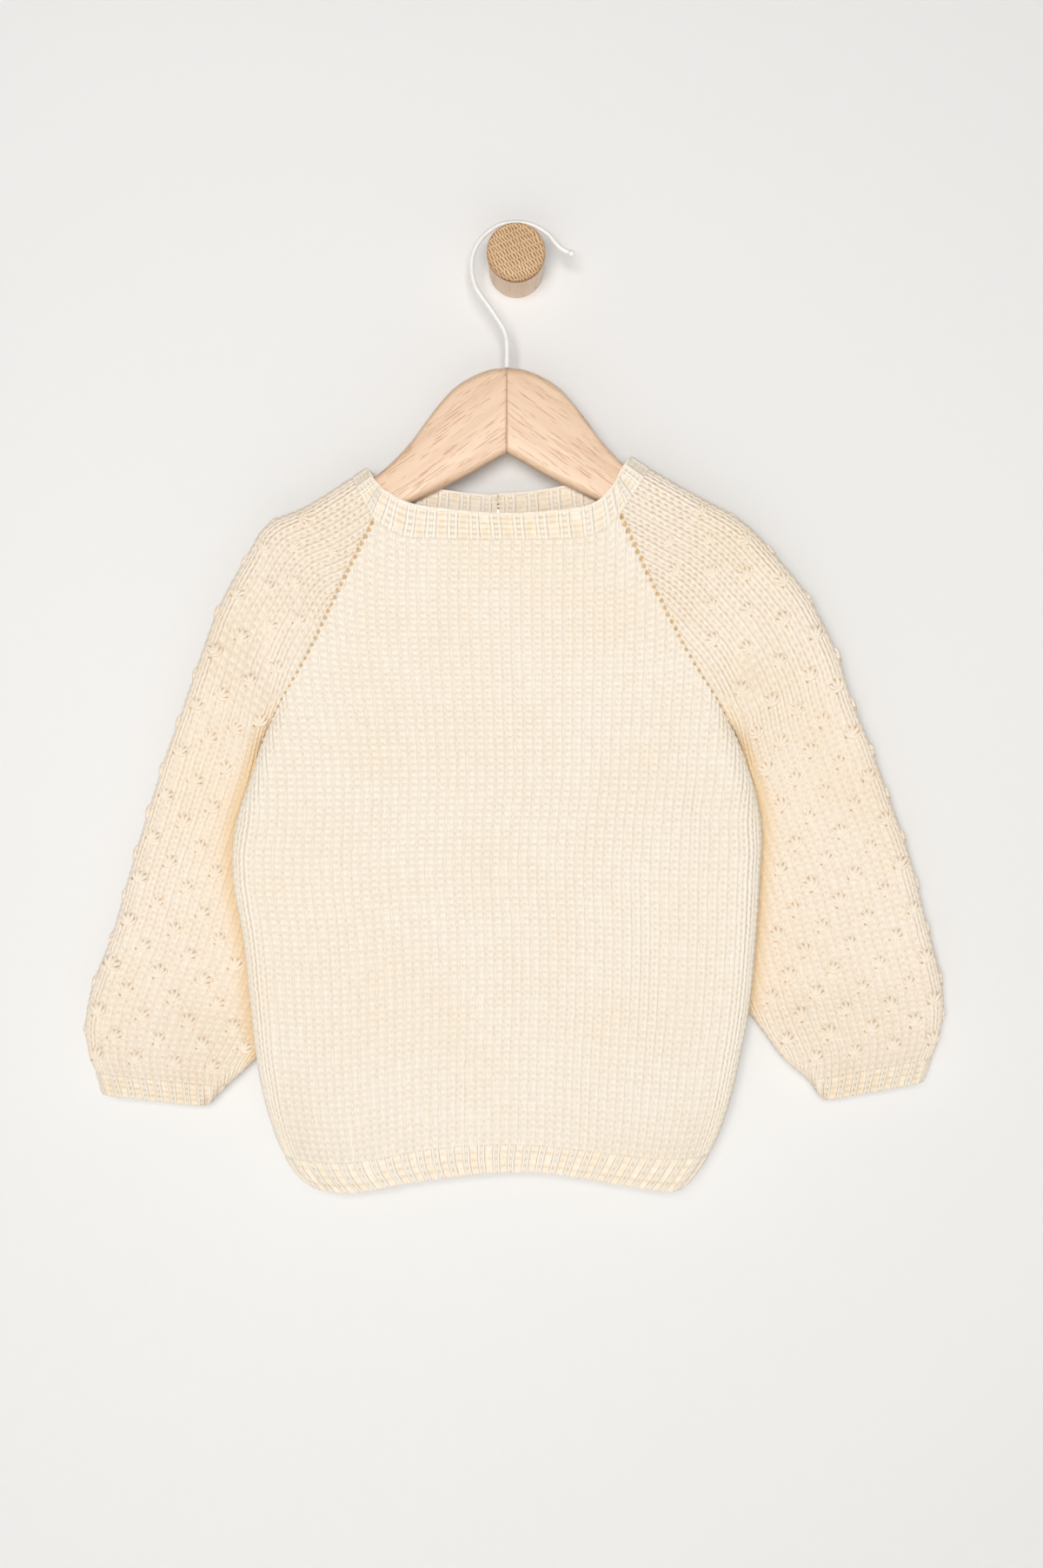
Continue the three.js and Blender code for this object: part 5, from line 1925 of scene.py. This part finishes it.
@dataclass
class Fastening:
    """Small four-hole button and thread loop at the back of the neckband.

    Args:
        x: place across.
        z: height.
        radius: radius of the button.
        thick: its thickness.
        rim: width of its rim.
        hollow: depth of the dish inside the rim.
        hole: radius of a hole.
        holes_at: distance of the holes from the middle.
        thread: radius of the loop's thread.
        start_angle: angle from the X axis where the loop leaves the band, in degrees.
    """

    x: float = -10.6
    z: float = -133.4
    radius: float = 5.5
    thick: float = 2.4
    rim: float = 1.6
    hollow: float = 0.7
    hole: float = 0.55
    holes_at: float = 1.5
    thread: float = 0.6
    start_angle: float = 24.0

    def build(self) -> list[Piece]:
        """Builds the button and the loop."""
        foot = float(HANG_Y + BODY.read("half", self.z))
        button = self._button(foot + SEAM)
        button.data.materials.append(BUTTON_SHELL.material())
        place_piece(button, "button", "neck_button")
        reach = self.radius + SEAM + self.thread
        angles = np.radians(np.linspace(self.start_angle, 360 - self.start_angle, 64))
        route = np.stack([self.x + reach * np.cos(angles), np.full(64, foot + SEAM + self.thread),
                          self.z + reach * np.sin(angles)], -1)
        ply = self.thread * (1 - 0.12 * np.cos(np.arange(64) * 2.1) ** 2)
        loop = tube("button_thread_loop", route, ply, 12)
        loop.data.materials.append(THREAD_YARN.material())
        return [button, place_piece(loop, "rib_knit", "button_loop")]

    def _button(self, foot: float) -> Piece:
        """Builds the button: rings round its rim, and two flat faces joined by the walls of the holes.

        Args:
            foot: place of its underside along Y.
        """
        edge, inner, floor = self.radius - 0.6, self.radius - self.rim, self.thick - self.hollow
        profile = [(edge + 0.6 * math.cos(turn), self.thick / 2 + (self.thick / 2 - 0.6) * np.sign(turn)
                    + 0.6 * math.sin(turn)) for turn in np.radians(np.linspace(-90, 90, 9))]
        profile += [(inner, self.thick), (inner - 0.3, self.thick - 0.15), (inner - 0.7, floor)]
        data = MeshData()
        around, round_hole = (np.arange(sides) * 2 * np.pi / sides for sides in (48, 16))
        rim = [data.ring(self.x, foot + height, self.z, radius, around) for radius, height in profile]
        for low, high in zip(rim, rim[1:]):
            data.band(low, high)
        under, over = [rim[0]], [rim[-1]]
        for turn in np.radians((45, 135, 225, 315)):
            x, z = self.x + self.holes_at * math.cos(turn), self.z + self.holes_at * math.sin(turn)
            under.append(data.ring(x, foot, z, self.hole, round_hole))
            over.append(data.ring(x, foot + floor, z, self.hole, round_hole))
            data.band(over[-1], under[-1])
        points = np.concatenate(data.points)[:, [0, 2]]
        for loops, facing in ((under, 1), (over, -1)):
            numbers = [index for loop in loops for index in loop]
            for face in tessellate_polygon(
                [[Vector((*points[index], 0)) for index in loop] for loop in loops]
            ):
                a, b, c = (numbers[index] for index in face)
                left, right = points[b] - points[a], points[c] - points[a]
                turned_right = (left[0] * right[1] - left[1] * right[0]) * facing > 0
                data.faces.append((a, b, c) if turned_right else (a, c, b))
        return data.piece("neck_button_shell", knit_layer=False)


@dataclass
class Hanger:
    """Two wooden arms mitred at the middle, and the white wire hook.

    Args:
        x: place of the mitre.
        thick: thickness of the arms.
        corner: rounding of their edges.
        tip_from: where an arm starts to round off.
        tip_round: length of that rounding.
        ball: radius of the ball at the end of the hook.
        ball_at: its place, X and Z.
    """

    x: float = -5.0
    thick: float = 12.0
    corner: float = 4.0
    tip_from: float = 118.0
    tip_round: float = 10.0
    ball: float = 1.95
    ball_at: tuple[float, float] = (29.6, 0.8)

    def build(self) -> list[Piece]:
        """Builds the arms and the hook."""
        made = []
        for side, name, finish in ((-1, "left", LEFT_WOOD), (1, "right", RIGHT_WOOD)):
            arm = self._arm(side, name)
            arm.data.materials.append(finish.material())
            made.append(place_piece(arm, "hanger_wood", f"hanger_arm_{name}"))
        hook = self._hook()
        hook.data.materials.append(WIRE_PAINT.material())
        return [*made, place_piece(hook, "painted_wire", "hook")]

    def _arm(self, side: int, name: str) -> Piece:
        """One arm, lofted from the mitre to its rounded end."""
        runs = np.concatenate([[0, 0.35], np.linspace(1.2, self.tip_from, 70), np.linspace(119, 127, 12)])
        corner_angles = np.radians(np.linspace(0, 90, 7))
        data = MeshData()
        count = 0
        for run in runs:
            top, foot = (float(ARM.read(column, run)) for column in ("top", "foot"))
            taper = math.sqrt(1 - (max(0.0, run - self.tip_from) / self.tip_round) ** 2)
            eased = 0.35 * (1 - math.sqrt(1 - max(0.0, 1 - run / 0.35) ** 2)) if run < 0.35 else 0.0
            depth = self.thick / 2 * taper - eased
            corner = min(self.corner, (top - foot) / 2) * taper
            ring = []
            for y_sign, z_sign in ((-1, 1), (1, 1), (1, -1), (-1, -1)):
                angles = corner_angles[::-1] if y_sign * z_sign < 0 else corner_angles
                for angle in angles:
                    y = y_sign * (depth - corner * (1 - math.sin(angle)))
                    edge = top - eased if z_sign > 0 else foot + eased
                    ring.append((self.x + side * (run + MITRE / 2), HANG_Y + y,
                                 edge - z_sign * corner * (1 - math.cos(angle))))
            count = len(ring)
            data.add(np.array(ring), np.zeros((count, 3)))
        for i in range(len(runs) - 1):
            for k in range(count):
                j = (k + 1) % count
                face = (i * count + k, i * count + j, (i + 1) * count + j, (i + 1) * count + k)
                data.faces.append(face if side > 0 else face[::-1])
        last = (len(runs) - 1) * count
        caps = (tuple(range(count))[::-1], tuple(last + k for k in range(count)))
        data.faces.extend(cap if side > 0 else cap[::-1] for cap in caps)
        piece = data.piece(f"hanger_arm_{name}_wood", knit_layer=False)
        outwards(piece)
        return piece

    def _hook(self) -> Piece:
        """The wire and its ball, as one tube whose radius grows at the ball."""
        points = np.array(HOOK)
        chords = np.concatenate([[0], np.cumsum(np.linalg.norm(np.diff(points, axis=0), axis=1))])
        ball = np.array(self.ball_at)
        reach = chords[-1] + float(np.linalg.norm(ball - points[-1]))
        rows = tuple((float(at), float(x), float(z)) for at, (x, z) in zip(chords, points))
        table = Table(("at", "x", "z"), (*rows, (reach, float(ball[0]), float(ball[1]))))
        swell = math.sqrt(self.ball**2 - WIRE_RADIUS**2)
        along = np.concatenate([np.linspace(0, reach - swell, 190),
                                reach - swell * np.cos(np.linspace(0.2, 1, 8) * np.pi / 2)])
        x, z = table.read("x", along), table.read("z", along)
        slope = np.array([x[-1] - x[-4], z[-1] - z[-4]])
        slope /= np.linalg.norm(slope)
        beyond = self.ball * np.sin(np.linspace(0.1, 0.97, 10) * np.pi / 2)
        x = np.concatenate([x, x[-1] + slope[0] * beyond])
        z = np.concatenate([z, z[-1] + slope[1] * beyond])
        radii = np.where(
            along > reach - swell, np.sqrt(np.maximum(self.ball**2 - (reach - along) ** 2, 0)), WIRE_RADIUS
        )
        radii = np.concatenate([radii, np.sqrt(self.ball**2 - beyond**2)])
        route = np.stack([x, np.full_like(x, HANG_Y), z], -1)
        piece = tube("hook_wire", route, radii)
        outwards(piece)
        return piece


def outwards(piece: Piece) -> None:
    """Turns the faces of a closed piece outwards."""
    shape = bmesh.new()
    shape.from_mesh(piece.data)
    bmesh.ops.recalc_face_normals(shape, faces=shape.faces)
    shape.to_mesh(piece.data)
    shape.free()


@dataclass
class WallPeg:
    """Round wooden peg on the wall with a separate cap.

    Args:
        radius: radius at the front.
        base_radius: radius at the wall.
        length: length of the body.
        cap_thick: thickness of the cap.
        bevel: rounding of the edges.
        ring: width of the bevel that runs round the cap's face.
    """

    radius: float = 15.6
    base_radius: float = 14.8
    length: float = 39.2
    cap_thick: float = 5.0
    bevel: float = 0.7
    ring: float = 1.3

    def build(self) -> list[Piece]:
        """Builds the body and the cap."""
        quarter = np.radians(np.linspace(0, 90, 6))
        shoulder = self.length - self.bevel
        body_profile = [(0, 0), (self.base_radius - 0.01, 0)]
        body_profile += [
            (mix(self.base_radius, self.radius, t), shoulder * t) for t in np.linspace(0.001, 1, 12)
        ]
        body_profile += [(self.radius - self.bevel * (1 - math.cos(a)), shoulder + self.bevel * math.sin(a))
                         for a in quarter[1:]]
        body = turned("peg_body_wood", [*body_profile, (0, self.length)])
        body.data.materials.append(PEG_WOOD.material())
        back = self.length + SEAM
        front = back + self.cap_thick
        cap_profile = [(0, back)]
        cap_profile += [(self.radius - self.bevel * (1 - math.sin(a)), back + self.bevel * (1 - math.cos(a)))
                        for a in quarter]
        cap_profile += [(self.radius - self.bevel * (1 - math.cos(a)), front - self.bevel * (1 - math.sin(a)))
                        for a in quarter]
        inner = self.radius - self.bevel - self.ring
        cap_profile += [
            (inner + 0.25, front), (inner, front - 0.18), (inner - 0.3, front - 0.12), (0, front - 0.05)
        ]
        cap = turned("peg_cap_wood", cap_profile)
        cap.data.materials.append(PEG_FACE.material())
        return [place_piece(body, "peg_wood", "peg_body"), place_piece(cap, "peg_end_grain", "peg_cap")]


@dataclass
class Studio:
    """Camera, soft light, pale wall and pale floor.

    Args:
        camera: place of the camera, in metres.
        lens: focal length, in millimetres.
        floor: height of the floor.
        wall_shade: shade of the wall and the floor.
        key_power: power of the main light.
        key_at: its place.
        key_size: its size.
        sky: strength of the light all round.
    """

    camera: tuple[float, float, float] = (0.0029, -1.203, -0.2833)
    lens: float = 50.0
    floor: float = -0.80
    wall_shade: str = "#efefef"
    key_power: float = 35.0
    key_at: tuple[float, float, float] = (-0.09, -2.2, -0.22)
    key_size: float = 0.6
    sky: float = 0.15

    def build(self) -> None:
        """Builds the whole surroundings."""
        scene = bpy.context.scene
        scene.view_settings.view_transform = "Standard"
        data = bpy.data.cameras.new("camera")
        data.lens, data.sensor_fit, data.sensor_height = self.lens, "VERTICAL", 36.0
        camera = bpy.data.objects.new("camera", data)
        camera.location = self.camera
        camera.rotation_euler = (math.radians(90), 0, 0)
        scene.collection.objects.link(camera)
        scene.camera = camera
        world = bpy.data.worlds.new("soft_sky")
        world.use_nodes = True
        sky = world.node_tree.nodes["Background"]
        sky.inputs["Color"].default_value = linear("#fdfcfb")
        sky.inputs["Strength"].default_value = self.sky
        scene.world = world
        lamp = bpy.data.lights.new("window", "AREA")
        lamp.shape, lamp.size, lamp.energy = "SQUARE", self.key_size, self.key_power
        lamp.color = (1.0, 0.985, 0.96)
        key = bpy.data.objects.new("window", lamp)
        key.location = self.key_at
        direction = np.array([0, 0, -0.25]) - np.array(self.key_at)
        key.rotation_euler = (
            math.atan2(math.hypot(direction[0], direction[1]), -direction[2]), 0,
            math.atan2(direction[1], direction[0]) - math.pi / 2,
        )
        scene.collection.objects.link(key)
        self._sheet(
            "wall", [(-3, 0.0003, 2), (3, 0.0003, 2), (3, 0.0003, self.floor), (-3, 0.0003, self.floor)]
        )
        self._sheet(
            "floor", [(-3, 0, self.floor), (3, 0, self.floor), (3, -3, self.floor), (-3, -3, self.floor)]
        )

    def _sheet(self, name: str, corners: list[tuple[float, float, float]]) -> None:
        """A plain surface that shows only on its inner side."""
        mesh = bpy.data.meshes.new(name)
        mesh.from_pydata(corners, [], [(3, 2, 1, 0)])
        piece = bpy.data.objects.new(name, mesh)
        bpy.context.scene.collection.objects.link(piece)
        material, tree, shader, place = new_material(f"{name}_paint")
        shade = noise(tree, place, 1.2, 2.0).soft(0.3, 0.7)
        feed(tree, shader.inputs["Base Color"], blend(tree, shade, self.wall_shade, "#ededed"))
        feed(tree, shader.inputs["Normal"], bump(tree, noise(tree, place, 160.0, 3.0), 0.15))
        shader.inputs["Roughness"].default_value = 0.9
        behind = tree.nodes.new("ShaderNodeBsdfTransparent")
        side = tree.nodes.new("ShaderNodeNewGeometry")
        choice = tree.nodes.new("ShaderNodeMixShader")
        tree.links.new(side.outputs["Backfacing"], choice.inputs[0])
        tree.links.new(shader.outputs[0], choice.inputs[1])
        tree.links.new(behind.outputs[0], choice.inputs[2])
        tree.links.new(choice.outputs[0], tree.nodes["Material Output"].inputs["Surface"])
        mesh.materials.append(material)


def main() -> None:
    """Builds the whole scene in order and reports each piece."""
    logging.basicConfig(level=logging.INFO, format="%(name)s: %(message)s")
    parts = (
        Studio(),
        WallPeg(),
        Hanger(),
        Body(),
        Sleeve("left", LEFT_FORM, (0.21, 0.341), 0.048),
        Sleeve("right", RIGHT_FORM, (0.24, 0.346), 0.0578),
        Neckband(),
        Fastening(),
    )
    for part in parts:
        part.build()


if __name__ == "__main__":
    main()
